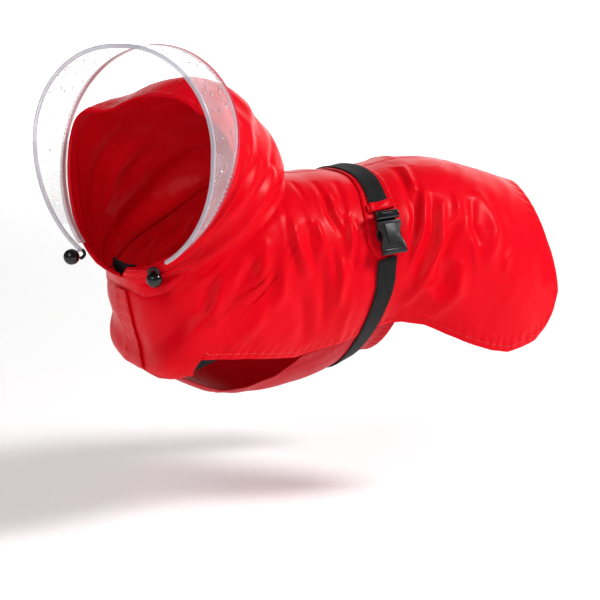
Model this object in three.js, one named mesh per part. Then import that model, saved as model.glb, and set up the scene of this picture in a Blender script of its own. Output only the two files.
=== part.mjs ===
// A hooded dog raincoat in its worn form, hollow. Millimetres, +Z up, +X to the tail, -Y to the left side.
// The origin lies under the middle of the back, behind the neck seam, where the coat is carried.
import * as THREE from "three";
import { mergeVertices } from "three/addons/utils/BufferGeometryUtils.js";

// Driving dimensions
const cloth = 1.2; // the coat's wall, with its coating
const seamGap = 0.3; // between pieces that are sewn or laid on each other
const beltWidth = 17;
const beltThick = 1.6;
const patchThick = 1.2; // saddle patch under the belt
const casingThick = 2.4; // drawcord channel on the hood's edge
const visorWall = 1;
const rimRadius = 1.7; // clear tube on the visor's front edge
const bindingWidth = 5.5;
const bindingThick = 2;
const lockRadius = 6.2;
const loopRadius = 1.3; // elastic cord
const degree = Math.PI / 180;

const red = new THREE.MeshStandardMaterial({ color: 0xe0101c, roughness: 0.42, metalness: 0 });
const darkRed = new THREE.MeshStandardMaterial({ color: 0xb81420, roughness: 0.55, metalness: 0 });
const black = new THREE.MeshStandardMaterial({ color: 0x16181a, roughness: 0.7, metalness: 0 });
const gloss = new THREE.MeshStandardMaterial({ color: 0x0c0d0e, roughness: 0.3, metalness: 0 });
const clear = new THREE.MeshStandardMaterial({
  color: 0xeef0f4, roughness: 0.08, metalness: 0, transparent: true, opacity: 0.3,
});

// Rings of the coat from the neck seam to the tail: the highest and lowest point in the middle plane, the
// half width, the powers of the outline above and below the widest line (2 is an ellipse, more is
// squarer), and how early the lower half runs forward (1 is a flat ring).
const coatRings = [
  { topX: -34, topZ: 2.4, lowX: -164, lowZ: -77, half: 63, upper: 2.1, lower: 2.4, lead: 1.3 },
  { topX: -28, topZ: 2.0, lowX: -161, lowZ: -98, half: 70, upper: 2.2, lower: 2.6, lead: 1.5 },
  { topX: -21, topZ: 1.6, lowX: -155, lowZ: -120, half: 73, upper: 2.3, lower: 2.5, lead: 1.7 },
  { topX: -13, topZ: 1.3, lowX: -150, lowZ: -144, half: 76, upper: 2.4, lower: 3.4, lead: 1.7 },
  { topX: -4, topZ: 1.2, lowX: -106, lowZ: -164, half: 77, upper: 2.5, lower: 2.5, lead: 1.5 },
  { topX: 8, topZ: 1.3, lowX: -60, lowZ: -173, half: 77, upper: 2.5, lower: 1.7, lead: 1.2 },
  { topX: 20, topZ: 0, lowX: -8, lowZ: -168, half: 77, upper: 2.45, lower: 1.5, lead: 1.0 },
  { topX: 31, topZ: -0.8, lowX: 31, lowZ: -154, half: 77, upper: 2.4, lower: 1.45, lead: 1.0 },
  { topX: 50, topZ: 2.4, lowX: 50, lowZ: -150, half: 77, upper: 2.4, lower: 1.6, lead: 1.0 },
  { topX: 80, topZ: 6.8, lowX: 82, lowZ: -164, half: 78, upper: 2.4, lower: 2.1, lead: 1.0 },
  { topX: 114, topZ: 5.0, lowX: 118, lowZ: -185, half: 79, upper: 2.3, lower: 2.5, lead: 1.0 },
  { topX: 154, topZ: -6, lowX: 158, lowZ: -190, half: 75, upper: 2.0, lower: 2.4, lead: 1.0 },
  { topX: 193, topZ: -19.5, lowX: 206, lowZ: -180, half: 62, upper: 1.55, lower: 2.0, lead: 1.0 },
];
const lastRing = coatRings.length - 1;

// Height of the coat's hem along the side, in front of the leg hole and from the leg hole to the tail
const chestHem = [
  { x: -152, z: -143 },
  { x: -145, z: -138 },
  { x: -128, z: -138.5 },
];
const sideHem = [
  { x: -130, z: -124.5 },
  { x: -91, z: -128 },
  { x: -68, z: -131.5 },
  { x: -42, z: -134.5 },
  { x: -32, z: -132.5 },
  { x: -15, z: -130 },
  { x: 3, z: -126.8 },
  { x: 15, z: -123 },
  { x: 31, z: -119 },
  { x: 52, z: -115.5 },
  { x: 69, z: -118.5 },
  { x: 88, z: -127.5 },
  { x: 108, z: -137 },
  { x: 130, z: -145 },
  { x: 146, z: -148.5 },
  { x: 163, z: -147 },
  { x: 178, z: -143 },
  { x: 188, z: -134 },
  { x: 195, z: -121 },
  { x: 200, z: -104 },
  { x: 205, z: -82 },
];
const legFrontX = -128;
// Where the middle of the girth belt runs along the coat, by the angle from the middle of the back
const beltRun = [
  { angle: 0, x: 34 },
  { angle: 20, x: 33 },
  { angle: 45, x: 29.5 },
  { angle: 80, x: 27.5 },
  { angle: 110, x: 24.5 },
  { angle: 135, x: 22 },
  { angle: 180, x: 22 },
];
// How far along the rings the neck seam lies, by the angle from the middle of the back
const neckSeam = [
  { angle: 0, place: 0 },
  { angle: 60, place: 0.35 },
  { angle: 95, place: 0.45 },
  { angle: 125, place: 0.6 },
  { angle: 150, place: 0.45 },
  { angle: 168, place: 0.12 },
  { angle: 180, place: 0.05 },
];

// How far along the hood's rings the collar's upper edge and the casing's lower edge lie
const collarTop = [
  { angle: 0, place: 0.7 },
  { angle: 90, place: 0.9 },
  { angle: 140, place: 1.7 },
  { angle: 180, place: 2.7 },
];
const casingEdge = [
  { angle: 0, place: 5.62 },
  { angle: 90, place: 5.45 },
  { angle: 140, place: 4.9 },
  { angle: 180, place: 4.3 },
];

// Hood rings from the neck seam to the face: the highest point over the crown, the lowest point at the
// throat, the half width, and how far the ring is turned to the left, in degrees
const hoodRings = [
  { topX: -34, topY: 0, topZ: 3, lowX: -162, lowY: 0, lowZ: -77, half: 63, turn: 0 },
  { topX: -37, topY: -3, topZ: 20, lowX: -166, lowY: -8, lowZ: -72, half: 68, turn: 4 },
  { topX: -51, topY: -7, topZ: 41, lowX: -170, lowY: -16, lowZ: -68, half: 74, turn: 8 },
  { topX: -73, topY: -12, topZ: 61, lowX: -174, lowY: -25, lowZ: -64, half: 79, turn: 13 },
  { topX: -95, topY: -17, topZ: 80, lowX: -177, lowY: -33, lowZ: -60, half: 82, turn: 18 },
  { topX: -120, topY: -21, topZ: 86, lowX: -179, lowY: -40, lowZ: -57, half: 84, turn: 22 },
  { topX: -143, topY: -26, topZ: 74, lowX: -180, lowY: -46, lowZ: -56, half: 84, turn: 26 },
];

// The visor: a clear band between a front ring in an upright plane and a back ring that leans away from it.
// Both meet near the throat.
const visor = {
  middle: new THREE.Vector3(-180, -46, 33),
  turn: 26,
  frontHalf: 88, backHalf: 84.5,
  frontUp: 77, backUp: 75, down: 89,
  fuller: 4, // the front ring stands out at its upper left
  depthRise: 72, depthBend: 26, // how deep the band is from the chin, 0, to the top, 1
  end: 151, // degrees from the top to each end
};
const ahead = new THREE.Vector3(-Math.cos(visor.turn * degree), -Math.sin(visor.turn * degree), 0);
const upward = new THREE.Vector3(0, 0, 1);
const aside = new THREE.Vector3(Math.sin(visor.turn * degree), -Math.cos(visor.turn * degree), 0);

// The coat's largest folds on its left side, each from one place over a second to a third. along is x on the
// sides and runs on round the chest, around is the way down from the middle of the back, width is to each
// side of the fold's line, and a height below zero is a valley. The right side has the same folds, shifted.
const coatFolds = [
  { along: [-106, -114, -122], around: [107, 127, 146], width: 9, height: 2.5 },
  { along: [-72, -81, -100], around: [85, 118, 132], width: 9, height: 3 },
  { along: [-85, -97, -111], around: [126, 136, 161], width: 8, height: -2.5 },
  { along: [-80, -86, -111], around: [127, 145, 167], width: 9, height: 3 },
  { along: [-67, -74, -79], around: [94, 115, 136], width: 9, height: -2.5 },
  { along: [-61, -63, -72], around: [103, 126, 144], width: 9, height: 2 },
  { along: [-53, -48, -41], around: [61, 94, 116], width: 10, height: 2.5 },
  { along: [-37, -38, -35], around: [70, 95, 121], width: 8, height: -2.5 },
  { along: [-13, -15, -8], around: [33, 65, 84], width: 8, height: -2 },
  { along: [1, -1, -1], around: [50, 88, 105], width: 8, height: 2.5 },
  { along: [-12, -12, -15], around: [107, 121, 140], width: 8, height: 2.5 },
  { along: [-44, -42, -39], around: [118, 144, 174], width: 12, height: -2.5 },
  { along: [70, 57, 43], around: [42, 78, 119], width: 9, height: -3 },
  { along: [80, 68, 51], around: [44, 82, 121], width: 9, height: 3 },
  { along: [92, 82, 49], around: [64, 104, 150], width: 8, height: 2.5 },
  { along: [104, 90, 70], around: [77, 100, 124], width: 9, height: -3 },
  { along: [123, 132, 119], around: [58, 93, 121], width: 12, height: 2.5 },
  { along: [113, 109, 112], around: [66, 87, 104], width: 9, height: -2 },
  { along: [87, 80, 69], around: [115, 129, 140], width: 12, height: -2.5 },
  { along: [98, 93, 70], around: [116, 142, 162], width: 12, height: 3 },
];
const rightShift = { along: 7, around: -6 };
// The hood's largest folds, with along counted in rings and around in degrees: the roll that lies over the
// neck seam, the deep valley under it, and the drape over the cheek and throat
const hoodFolds = [
  { along: [1.8, 1.55, 1.8], around: [52, 92, 130], width: 14, height: 5 },
  { along: [0.85, 0.7, 1.1], around: [48, 86, 120], width: 10, height: -4 },
  { along: [2.9, 2.95, 2.7], around: [60, 94, 122], width: 9, height: -2.5 },
  { along: [3.3, 3.9, 3.9], around: [52, 98, 128], width: 11, height: 2.5 },
  { along: [1.2, 1.45, 1.5], around: [121, 144, 161], width: 8, height: -2.5 },
];
const hoodRingStep = 20; // between rings at the side
const hoodDegree = 1.4; // round the hood, at its half width

const clamp = (value, low, high) => Math.min(high, Math.max(low, value));
const mix = (a, b, t) => a + (b - a) * t;
function smooth(low, high, value) {
  const t = clamp((value - low) / (high - low), 0, 1);
  return t * t * (3 - 2 * t);
}
// A value between table rows, on a smooth curve through them. place is counted in rows.
function between(rows, column, place) {
  const last = rows.length - 1;
  const i = Math.min(Math.floor(clamp(place, 0, last)), last - 1);
  const t = clamp(place, 0, last) - i;
  const at = (k) => rows[clamp(k, 0, last)][column];
  const [a, b, c, d] = [at(i - 1), at(i), at(i + 1), at(i + 2)];
  return b + 0.5 * t * (c - a + t * (2 * a - 5 * b + 4 * c - d + t * (3 * (b - c) + d - a)));
}
// A value read off a table by one of its columns, in straight lines
function readOff(rows, key, column, value) {
  const next = rows.findIndex((row) => row[key] > value);
  if (next < 0) return rows[rows.length - 1][column];
  if (next === 0) return rows[0][column];
  const [a, b] = [rows[next - 1], rows[next]];
  return mix(a[column], b[column], (value - a[key]) / (b[key] - a[key]));
}

// A point on the coat's outer face before its folds. Angle 0 is the middle of the back, positive is left.
function coatForm(place, angle) {
  const get = (column) => between(coatRings, column, place);
  const [cosine, sine] = [Math.cos(angle), Math.sin(angle)];
  const power = 2 / (cosine > 0 ? get("upper") : get("lower"));
  const rise = Math.abs(cosine) ** power;
  const run = cosine > 0 ? rise : 1 - (1 - rise) ** get("lead");
  const [middleX, middleZ] = [(get("topX") + get("lowX")) / 2, (get("topZ") + get("lowZ")) / 2];
  return new THREE.Vector3(
    mix(middleX, cosine > 0 ? get("topX") : get("lowX"), run),
    -get("half") * Math.sign(sine) * Math.abs(sine) ** power,
    mix(middleZ, cosine > 0 ? get("topZ") : get("lowZ"), rise),
  );
}

// Where a point lies on the unrolled coat
const chestTurnX = -90;
const chestReach = 66;
const sideMiddle = -73;
const sideReach = 77;
function unrolled(point) {
  const past = chestTurnX - point.x;
  const along = past > 0 ? chestTurnX - chestReach * Math.atan2(past, Math.abs(point.y)) : point.x;
  const around = sideReach * Math.acos(clamp((point.z - sideMiddle) / sideReach, -1, 1));
  return { along, around };
}
// How high the folds stand at a place. Each is a bent line that fades to its ends and its sides.
function foldHeight(folds, along, around, alongUnit = 1, aroundUnit = 1) {
  let height = 0;
  for (const fold of folds) {
    let [nearest, share] = [fold.width, 0];
    for (const leg of [0, 1]) {
      const [fromA, toA] = [fold.along[leg] * alongUnit, fold.along[leg + 1] * alongUnit];
      const [fromB, toB] = [fold.around[leg] * aroundUnit, fold.around[leg + 1] * aroundUnit];
      const [runA, runB] = [toA - fromA, toB - fromB];
      const t = clamp(((along - fromA) * runA + (around - fromB) * runB) / (runA ** 2 + runB ** 2), 0, 1);
      const off = Math.hypot(along - fromA - t * runA, around - fromB - t * runB);
      if (off < nearest) [nearest, share] = [off, (leg + t) / 2];
    }
    const across = Math.cos((nearest / fold.width) * (Math.PI / 2)) ** 2;
    height += fold.height * across * Math.sin(share * Math.PI) ** 0.7;
  }
  return height;
}
// The middle of the belt at an angle, which may run on past the middle of the belly
function beltMiddle(angle) {
  const turned = Math.abs(THREE.MathUtils.euclideanModulo(angle + Math.PI, 2 * Math.PI) - Math.PI);
  return readOff(beltRun, "angle", "x", turned / degree);
}
function coatOuter(place, angle, lift = 0) {
  const form = coatForm(place, angle);
  const { along, around } = unrolled(form);
  const shift = form.y < 0 ? { along: 0, around: 0 } : rightShift;
  const clear = smooth(13, 30, Math.abs(form.x - beltMiddle(angle))) * smooth(0, 12, Math.abs(form.y));
  const height = foldHeight(coatFolds, along - shift.along, around - shift.around) * clear;
  return form.addScaledVector(formNormal(coatForm, place, angle), height + lift);
}
function formNormal(form, a, b) {
  const [da, db] = [0.02, 0.01];
  const alongA = form(a + da, b).sub(form(a - da, b));
  const alongB = form(a, b + db).sub(form(a, b - db));
  return alongA.cross(alongB).normalize().negate();
}

// The angle at which the coat ends on its left side, for the ring at a place
function firstUnder(under) {
  let [low, high] = [Math.PI / 4, Math.PI];
  if (!under(high)) return high;
  for (let step = 0; step < 40; step += 1) {
    const middle = (low + high) / 2;
    if (under(middle)) high = middle;
    else low = middle;
  }
  return low;
}
const hemAngleOn = (rows, place) => firstUnder((angle) => {
  const point = coatForm(place, angle);
  return point.z < readOff(rows, "x", "z", point.x);
});
// The ring that runs along the leg hole's front edge
let legFrontPlace = 2;
while (coatForm(legFrontPlace, hemAngleOn(sideHem, legFrontPlace)).x < legFrontX) legFrontPlace += 0.005;
// The chest hem runs on under the leg hole's corner, on the ring that passes there
const legCornerX = -130;
let legCornerPlace = legFrontPlace;
while (coatForm(legCornerPlace, hemAngleOn(chestHem, legCornerPlace)).x < legCornerX)
  legCornerPlace += 0.005;
const hemAngle = (place) => hemAngleOn(place < legFrontPlace ? chestHem : sideHem, place);
const neckPlace = (angle) => readOff(neckSeam, "angle", "place", Math.abs(angle) / degree);

// A closed wall from a grid of outer points and the inner points behind them
function wallGeometry(outer, inner) {
  const [rows, columns] = [outer.length, outer[0].length];
  const positions = [...outer.flat(), ...inner.flat()].flatMap((point) => point.toArray());
  const outerAt = (r, c) => r * columns + c;
  const innerAt = (r, c) => rows * columns + r * columns + c;
  const index = [];
  const quad = (a, b, c, d) => index.push(a, b, c, a, c, d);
  for (let r = 0; r < rows - 1; r += 1)
    for (let c = 0; c < columns - 1; c += 1) {
      quad(outerAt(r, c), outerAt(r, c + 1), outerAt(r + 1, c + 1), outerAt(r + 1, c));
      quad(innerAt(r, c), innerAt(r + 1, c), innerAt(r + 1, c + 1), innerAt(r, c + 1));
    }
  const [endRow, endColumn] = [rows - 1, columns - 1];
  for (let r = 0; r < endRow; r += 1) {
    quad(outerAt(r, 0), outerAt(r + 1, 0), innerAt(r + 1, 0), innerAt(r, 0));
    quad(outerAt(r + 1, endColumn), outerAt(r, endColumn), innerAt(r, endColumn), innerAt(r + 1, endColumn));
  }
  for (let c = 0; c < endColumn; c += 1) {
    quad(outerAt(0, c + 1), outerAt(0, c), innerAt(0, c), innerAt(0, c + 1));
    quad(outerAt(endRow, c), outerAt(endRow, c + 1), innerAt(endRow, c + 1), innerAt(endRow, c));
  }
  return facingOut(positions, index);
}
// Turns every face round where the body would be inside out
function facingOut(positions, index) {
  const at = (i) => new THREE.Vector3().fromArray(positions, i * 3);
  let volume = 0;
  for (let i = 0; i < index.length; i += 3)
    volume += at(index[i]).dot(at(index[i + 1]).cross(at(index[i + 2])));
  if (volume < 0)
    for (let i = 0; i < index.length; i += 3) [index[i + 1], index[i + 2]] = [index[i + 2], index[i + 1]];
  const geometry = new THREE.BufferGeometry();
  geometry.setAttribute("position", new THREE.Float32BufferAttribute(positions, 3));
  geometry.setIndex(index);
  geometry.computeVertexNormals();
  return geometry;
}
// A generated shape's points, merged, and its faces
function mergedShape(geometry) {
  geometry.deleteAttribute("uv");
  geometry.deleteAttribute("normal");
  const merged = mergeVertices(geometry, 1e-4);
  return { positions: [...merged.attributes.position.array], index: [...merged.index.array] };
}
const coat = new THREE.Group();
function addPiece(name, geometry, material) {
  const piece = new THREE.Mesh(geometry, material);
  piece.name = name;
  coat.add(piece);
  return piece;
}
// A sheet of cloth over a patch of a surface: at(row, t) gives its outer point for each row value and t from
// 0 to 1, and turned is 1 or -1 to set which way is out.
function addSheet(name, material, rows, columns, thickness, turned, at) {
  const outer = [];
  const inner = [];
  const [first, last] = [Math.min(...rows), Math.max(...rows)];
  const step = 0.001;
  for (const [r, s] of rows.entries()) {
    outer.push([]);
    inner.push([]);
    for (let c = 0; c <= columns; c += 1) {
      const t = c / columns;
      const alongS = at(Math.min(last, s + step), t).sub(at(Math.max(first, s - step), t));
      const alongT = at(s, Math.min(1, t + step)).sub(at(s, Math.max(0, t - step)));
      const out = alongS.cross(alongT).normalize().multiplyScalar(turned);
      const point = at(s, t);
      outer[r].push(point);
      inner[r].push(point.clone().addScaledVector(out, -thickness));
    }
  }
  return addPiece(name, wallGeometry(outer, inner), material);
}

// Coat halves. Two rows of the grid stand on each side of the leg hole's front edge.
const coatRows = [];
for (let row = 0; row <= 32; row += 1) coatRows.push((row / 32) * lastRing);
const beforeLeg = coatRows.findIndex((place) => place > legFrontPlace);
coatRows.splice(beforeLeg, 0, legFrontPlace - 0.002, legFrontPlace + 0.002);
const coatColumns = 20;
const gapAngle = seamGap / 2 / 70;
const cornerShare = 1 - 1 / coatColumns;
function coatPlace(row, t) {
  const full = Math.PI - gapAngle;
  const last = Math.min(hemAngle(row), full);
  if (row > legFrontPlace) return { place: row, angle: mix(gapAngle, last, t) };
  // In front of the leg hole the last column hangs below the hole's corner
  const near = smooth(legFrontPlace - 1.2, legFrontPlace, row);
  const corner = mix(cornerShare * last, Math.min(hemAngleOn(sideHem, row), full), near);
  const below = Math.max(0, (t - cornerShare) / (1 - cornerShare));
  const angle = t < cornerShare ? mix(gapAngle, corner, t / cornerShare) : mix(corner, last, below);
  const neck = neckPlace(angle) + 0.01;
  const place = row < 2.2 ? mix(neck, 2.2, row / 2.2) : row;
  const moved = below * smooth(legFrontPlace - 0.6, legFrontPlace, row);
  const cornerEnd = Math.min(hemAngleOn(chestHem, legCornerPlace), full);
  return { place: mix(place, legCornerPlace, moved), angle: mix(angle, cornerEnd, moved) };
}
function addCoatHalf(name, side) {
  addSheet(name, red, coatRows, coatColumns, cloth, side, (row, t) => {
    const { place, angle } = coatPlace(row, t);
    return coatOuter(place, -side * angle);
  });
}
addCoatHalf("coat_left", -1);
addCoatHalf("coat_right", 1);

// Belly piece, between the leg holes and up to the sides behind them
const bellyEdge = [
  { place: 2.9, angle: 150 },
  { place: 3.3, angle: 155 },
  { place: 4.3, angle: 155 },
  { place: 5.0, angle: 143 },
  { place: 5.6, angle: 110 },
];
const bellyRows = [];
for (let row = 0; row <= 20; row += 1) bellyRows.push(mix(2.95, 7.9, row / 20));
addSheet("belly_panel", darkRed, bellyRows, 14, cloth, -1, (row, t) => {
  const hem = hemAngle(row) + 0.5 / 75;
  const edge = Math.max(hem, readOff(bellyEdge, "place", "angle", row) * degree);
  return coatOuter(row, mix(edge, 2 * Math.PI - edge, t), -4.5 * smooth(4.2, 3.4, row));
});

// Hood: rings that start on the neck seam and are blended into the face edge
function hoodRing(place, angle) {
  const get = (column) => between(hoodRings, column, place);
  const top = new THREE.Vector3(get("topX"), get("topY"), get("topZ"));
  const low = new THREE.Vector3(get("lowX"), get("lowY"), get("lowZ"));
  const turn = get("turn") * degree;
  return top.clone().add(low).multiplyScalar(0.5)
    .addScaledVector(top.clone().sub(low).multiplyScalar(0.5), Math.cos(angle))
    .addScaledVector(new THREE.Vector3(Math.sin(turn), -Math.cos(turn), 0), get("half") * Math.sin(angle));
}
function visorDepth(angle) {
  const rise = (1 + Math.cos(angle)) / 2;
  return Math.max(3, visor.depthRise * rise - visor.depthBend * rise * rise);
}
function visorPoint(angle, share) {
  const up = Math.cos(angle) > 0 ? mix(visor.frontUp, visor.backUp, share) : visor.down;
  const fuller = visor.fuller * (1 - share) * Math.max(0, Math.sin(2 * angle)) * (angle > 0 ? 1 : 0);
  const half = mix(visor.frontHalf, visor.backHalf, share);
  return visor.middle.clone()
    .addScaledVector(aside, (half + fuller) * Math.sin(angle))
    .addScaledVector(upward, (up + fuller) * Math.cos(angle))
    .addScaledVector(ahead, -visorDepth(angle) * share);
}
// The hood's edge follows the visor's back ring at the cheeks, drops behind it over the crown and lies
// inside it at the upper left
const brimDrop = new THREE.Vector3(-4, 0, -38);
const brimInset = 22;
const throatDrop = new THREE.Vector3(0, 0, -7); // the right side hangs lower at the throat
const casingGap = 1.4; // between the casing's rim and the binding, which lie at an angle to each other
function faceEdge(angle) {
  const [from, to] = angle > 0 ? [18, 90] : [30, 85];
  const turned = Math.abs(angle) / degree;
  const dip = 1 - smooth(from, to, turned);
  const inset = angle > 0 ? smooth(15, 50, turned) * (1 - smooth(60, 105, turned)) : 0;
  return visorPoint(angle, 1 + (bindingWidth / 2 + casingGap) / visorDepth(angle))
    .addScaledVector(brimDrop, dip)
    .addScaledVector(aside, -brimInset * inset)
    .addScaledVector(throatDrop, angle < 0 ? smooth(105, 155, turned) : 0);
}
const lastHoodRing = hoodRings.length - 1;
function hoodForm(place, angle) {
  const point = hoodRing(place, angle);
  const toSeam = coatForm(neckPlace(angle), angle).sub(hoodRing(0, angle));
  const toFace = faceEdge(angle).sub(hoodRing(lastHoodRing, angle));
  return point.addScaledVector(toSeam, 1 - smooth(0, 2.5, place))
    .addScaledVector(toFace, smooth(1, lastHoodRing, place) ** 1.2);
}
function hoodOuter(place, angle, lift = 0) {
  const turned = Math.abs(angle) / degree + (angle < 0 ? 4 : 0);
  const [along, around] = [place * hoodRingStep, turned * hoodDegree];
  const height = foldHeight(hoodFolds, along, around, hoodRingStep, hoodDegree);
  return hoodForm(place, angle).addScaledVector(formNormal(hoodForm, place, angle), -(height + lift));
}
function rowsFrom(from, to, count) {
  return Array.from({ length: count + 1 }, (_, i) => mix(from, to, i / count));
}
const onTable = (rows, angle) => readOff(rows, "angle", "place", Math.abs(angle) / degree);
// The closure: the right side is cut back towards the face, so a dark underlap shows there
const notch = 0.14;
const closeAngle = (side, place) => Math.PI - gapAngle - (side > 0 ? notch * smooth(2, 6, place) : 0);
function addHoodHalf(side, ending) {
  const piece = (from, to) => (u, t) => {
    const rough = mix(gapAngle, Math.PI, t);
    const place = mix(from(rough), to(rough), u);
    return hoodOuter(place, -side * mix(gapAngle, closeAngle(side, place), t));
  };
  const top = (angle) => onTable(collarTop, angle);
  const edge = (angle) => onTable(casingEdge, angle);
  addSheet("collar_" + ending, red, rowsFrom(0, 1, 2), 20, cloth, -side, piece(() => 0, top));
  addSheet("hood_" + ending, red, rowsFrom(0, 1, 12), 22, cloth, -side, piece((a) => top(a) + 0.04, edge));
}
addHoodHalf(-1, "left");
addHoodHalf(1, "right");
addSheet("hood_casing", red, rowsFrom(0, 1, 2), 56, casingThick, 1, (u, t) => {
  const rough = mix(-Math.PI, Math.PI, t);
  const place = mix(onTable(casingEdge, rough) + 0.11, lastHoodRing, u);
  return hoodOuter(place, mix(-closeAngle(1, place), closeAngle(-1, place), t), 0.5);
});
addSheet("neck_underlap", black, rowsFrom(0, 1, 2), 4, cloth, 1, (u, t) =>
  hoodOuter(mix(1.6, 5.4, u), Math.PI + mix(-0.1, 0.24, t), -casingThick - 2 * seamGap));

// Visor
const visorEnd = visor.end * degree;
const bindingEnd = 146 * degree;
const filmEnd = 133 * degree;
addSheet("visor_film", clear, rowsFrom(0, 1, 3), 44, visorWall, -1, (u, t) => {
  const angle = mix(-filmEnd, filmEnd, t);
  const depth = visorDepth(angle);
  return visorPoint(angle, mix(rimRadius + seamGap, depth - bindingWidth / 2 - seamGap, u) / depth);
});
addSheet("visor_binding", clear, rowsFrom(-0.5, 0.5, 1), 56, bindingThick, -1, (u, t) => {
  const angle = mix(-bindingEnd, bindingEnd, t);
  const share = 1 + (bindingWidth * u) / visorDepth(angle);
  const proud = (bindingThick - visorWall) / 2;
  return visorPoint(angle, share).addScaledVector(formNormal(visorPoint, angle, share), -proud);
});
function roundShape(radius, sides) {
  const points = rowsFrom(0, 2 * Math.PI, sides).slice(0, sides);
  return new THREE.Shape(points.map((a) => new THREE.Vector2(radius * Math.cos(a), radius * Math.sin(a))));
}
function addCord(name, points, radius, sides, steps, material) {
  const path = new THREE.CatmullRomCurve3(points);
  const options = { extrudePath: path, steps, bevelEnabled: false };
  const { positions, index } = mergedShape(new THREE.ExtrudeGeometry(roundShape(radius, sides), options));
  return addPiece(name, facingOut(positions, index), material);
}
const rimPoints = rowsFrom(-visorEnd, visorEnd, 40).map((angle) => visorPoint(angle, 0));
addCord("visor_rim", rimPoints, rimRadius, 7, 60, clear);

// Ball cord locks, each on a loop of elastic cord that comes out of the casing at the loop's seat
const lockFront = new THREE.Vector3(-0.4, -0.9, 0);
const loopHalf = 3.2; // half the way between the loop's ends
const loopShape = [
  { across: -1, rise: 0 },
  { across: -1, rise: 0.35 },
  { across: -0.6, rise: 0.85 },
  { across: 0, rise: 1 },
  { across: 0.6, rise: 0.85 },
  { across: 1, rise: 0.35 },
  { across: 1, rise: 0 },
];
function addLock(ending, centre, seat) {
  const profile = rowsFrom(0, Math.PI, 9).map((a) =>
    new THREE.Vector2(lockRadius * Math.sin(a), -lockRadius * Math.cos(a)));
  profile[0].x = 0;
  profile[profile.length - 1].x = 0;
  const ball = new THREE.LatheGeometry(profile, 16);
  ball.rotateX(Math.PI / 2);
  ball.translate(...centre.toArray());
  const { positions, index } = mergedShape(ball);
  addPiece("lock_" + ending, facingOut(positions, index), gloss);
  const up = seat.clone().sub(centre).normalize();
  const side = up.clone().cross(lockFront).normalize();
  const start = lockRadius + 2 * seamGap;
  const reach = seat.distanceTo(centre);
  const loop = loopShape.map(({ across, rise }) => centre.clone()
    .addScaledVector(up, mix(start, reach, rise))
    .addScaledVector(side, across * loopHalf));
  addCord("lock_cord_" + ending, loop, loopRadius, 8, 14, black);
}
addLock("left", new THREE.Vector3(-161, -61, -61.6), new THREE.Vector3(-164.7, -67.1, -51.9));
addLock("right", new THREE.Vector3(-203.5, -0.5, -51), new THREE.Vector3(-193, -0.2, -48.7));

// Placket over the centre front
const placketProud = 0.4; // where the coat bends under it
addSheet("placket", red, rowsFrom(0.12, 2.8, 20), 3, cloth, -1, (place, t) =>
  coatOuter(place, Math.PI + mix(-0.14, 0.08, t), seamGap + cloth + placketProud));

// Facings inside the leg holes' front edges
function addLegFacing(side, ending) {
  addSheet("leg_facing_" + ending, black, rowsFrom(0, 1, 3), 4, cloth, side, (u, t) => {
    const above = hemAngleOn(sideHem, legFrontPlace) - 0.05;
    const below = hemAngleOn(chestHem, legFrontPlace) - 0.02;
    const place = legFrontPlace + mix(-0.12, 0.33 * (1 - t) + 0.03, u);
    return coatOuter(place, -side * mix(above, below, t), -cloth - 1.2);
  });
}
addLegFacing(-1, "left");
addLegFacing(1, "right");

// Girth strap. Its pieces follow the belt's run, so each point's ring is found from its x.
function placeAtX(x, angle) {
  let [low, high] = [4, 9];
  for (let step = 0; step < 40; step += 1) {
    const middle = (low + high) / 2;
    if (coatForm(middle, angle).x < x) low = middle;
    else high = middle;
  }
  return low;
}
const sideAngleAt = (z) => firstUnder((angle) => coatForm(placeAtX(beltMiddle(angle), angle), angle).z < z);
// A point at a distance behind the belt's middle
const onCoat = (offset, angle, lift) =>
  coatOuter(placeAtX(beltMiddle(angle) + offset, angle), angle, lift);

const patchTip = 60; // how far below the back the patch reaches on each side
const patchAngle = sideAngleAt(-patchTip);
const patchLift = 2 * seamGap + patchThick; // its outer face, out from the coat
const patchShape = [
  { angle: 0, front: 10.5, back: 12 },
  { angle: 0.4, front: 12, back: 14 },
  { angle: 0.65, front: 14.5, back: 14.5 },
  { angle: 0.85, front: 15.5, back: 13 },
  { angle: 0.94, front: 11, back: 10 },
  { angle: 1, front: 5, back: 5 },
];
const patchHalf = [...rowsFrom(0, 0.8, 10), 0.87, 0.94, 1];
const patchRows = [...patchHalf.slice(1).reverse().map((share) => -share), ...patchHalf];
addSheet("saddle_patch", red, patchRows, 6, patchThick, 1, (share, t) => {
  const edge = (column) => readOff(patchShape, "angle", column, Math.abs(share));
  return onCoat(mix(-edge("front"), edge("back"), t), share * patchAngle, patchLift);
});

const strapTop = sideAngleAt(-25); // the upper strap's cut end, left side
const strapLow = sideAngleAt(-59); // where the lower strap leaves the buckle, left side
const strapLift = (angle) => {
  const turned = Math.abs(angle) > Math.PI ? 2 * Math.PI - Math.abs(angle) : Math.abs(angle);
  return seamGap + beltThick + patchLift * (1 - smooth(patchAngle, patchAngle + 0.12, turned));
};
addSheet("belt", black, rowsFrom(strapLow - 2 * Math.PI, strapTop, 70), 2, beltThick, 1, (angle, t) => {
  return onCoat(mix(-beltWidth / 2, beltWidth / 2, t), angle, strapLift(angle));
});
const keeperTop = sideAngleAt(-18.5); // its upper edge, left side
const keeperLow = sideAngleAt(-25.5);
const keeperThick = 0.9;
const keeperHalf = 12.6; // from its middle to its sewn ends
const keeperShift = 1.4; // its middle, behind the belt's
const keeperRows = [-1, -0.9, -0.84, -0.5, 0, 0.5, 0.84, 0.9, 1];
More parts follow.
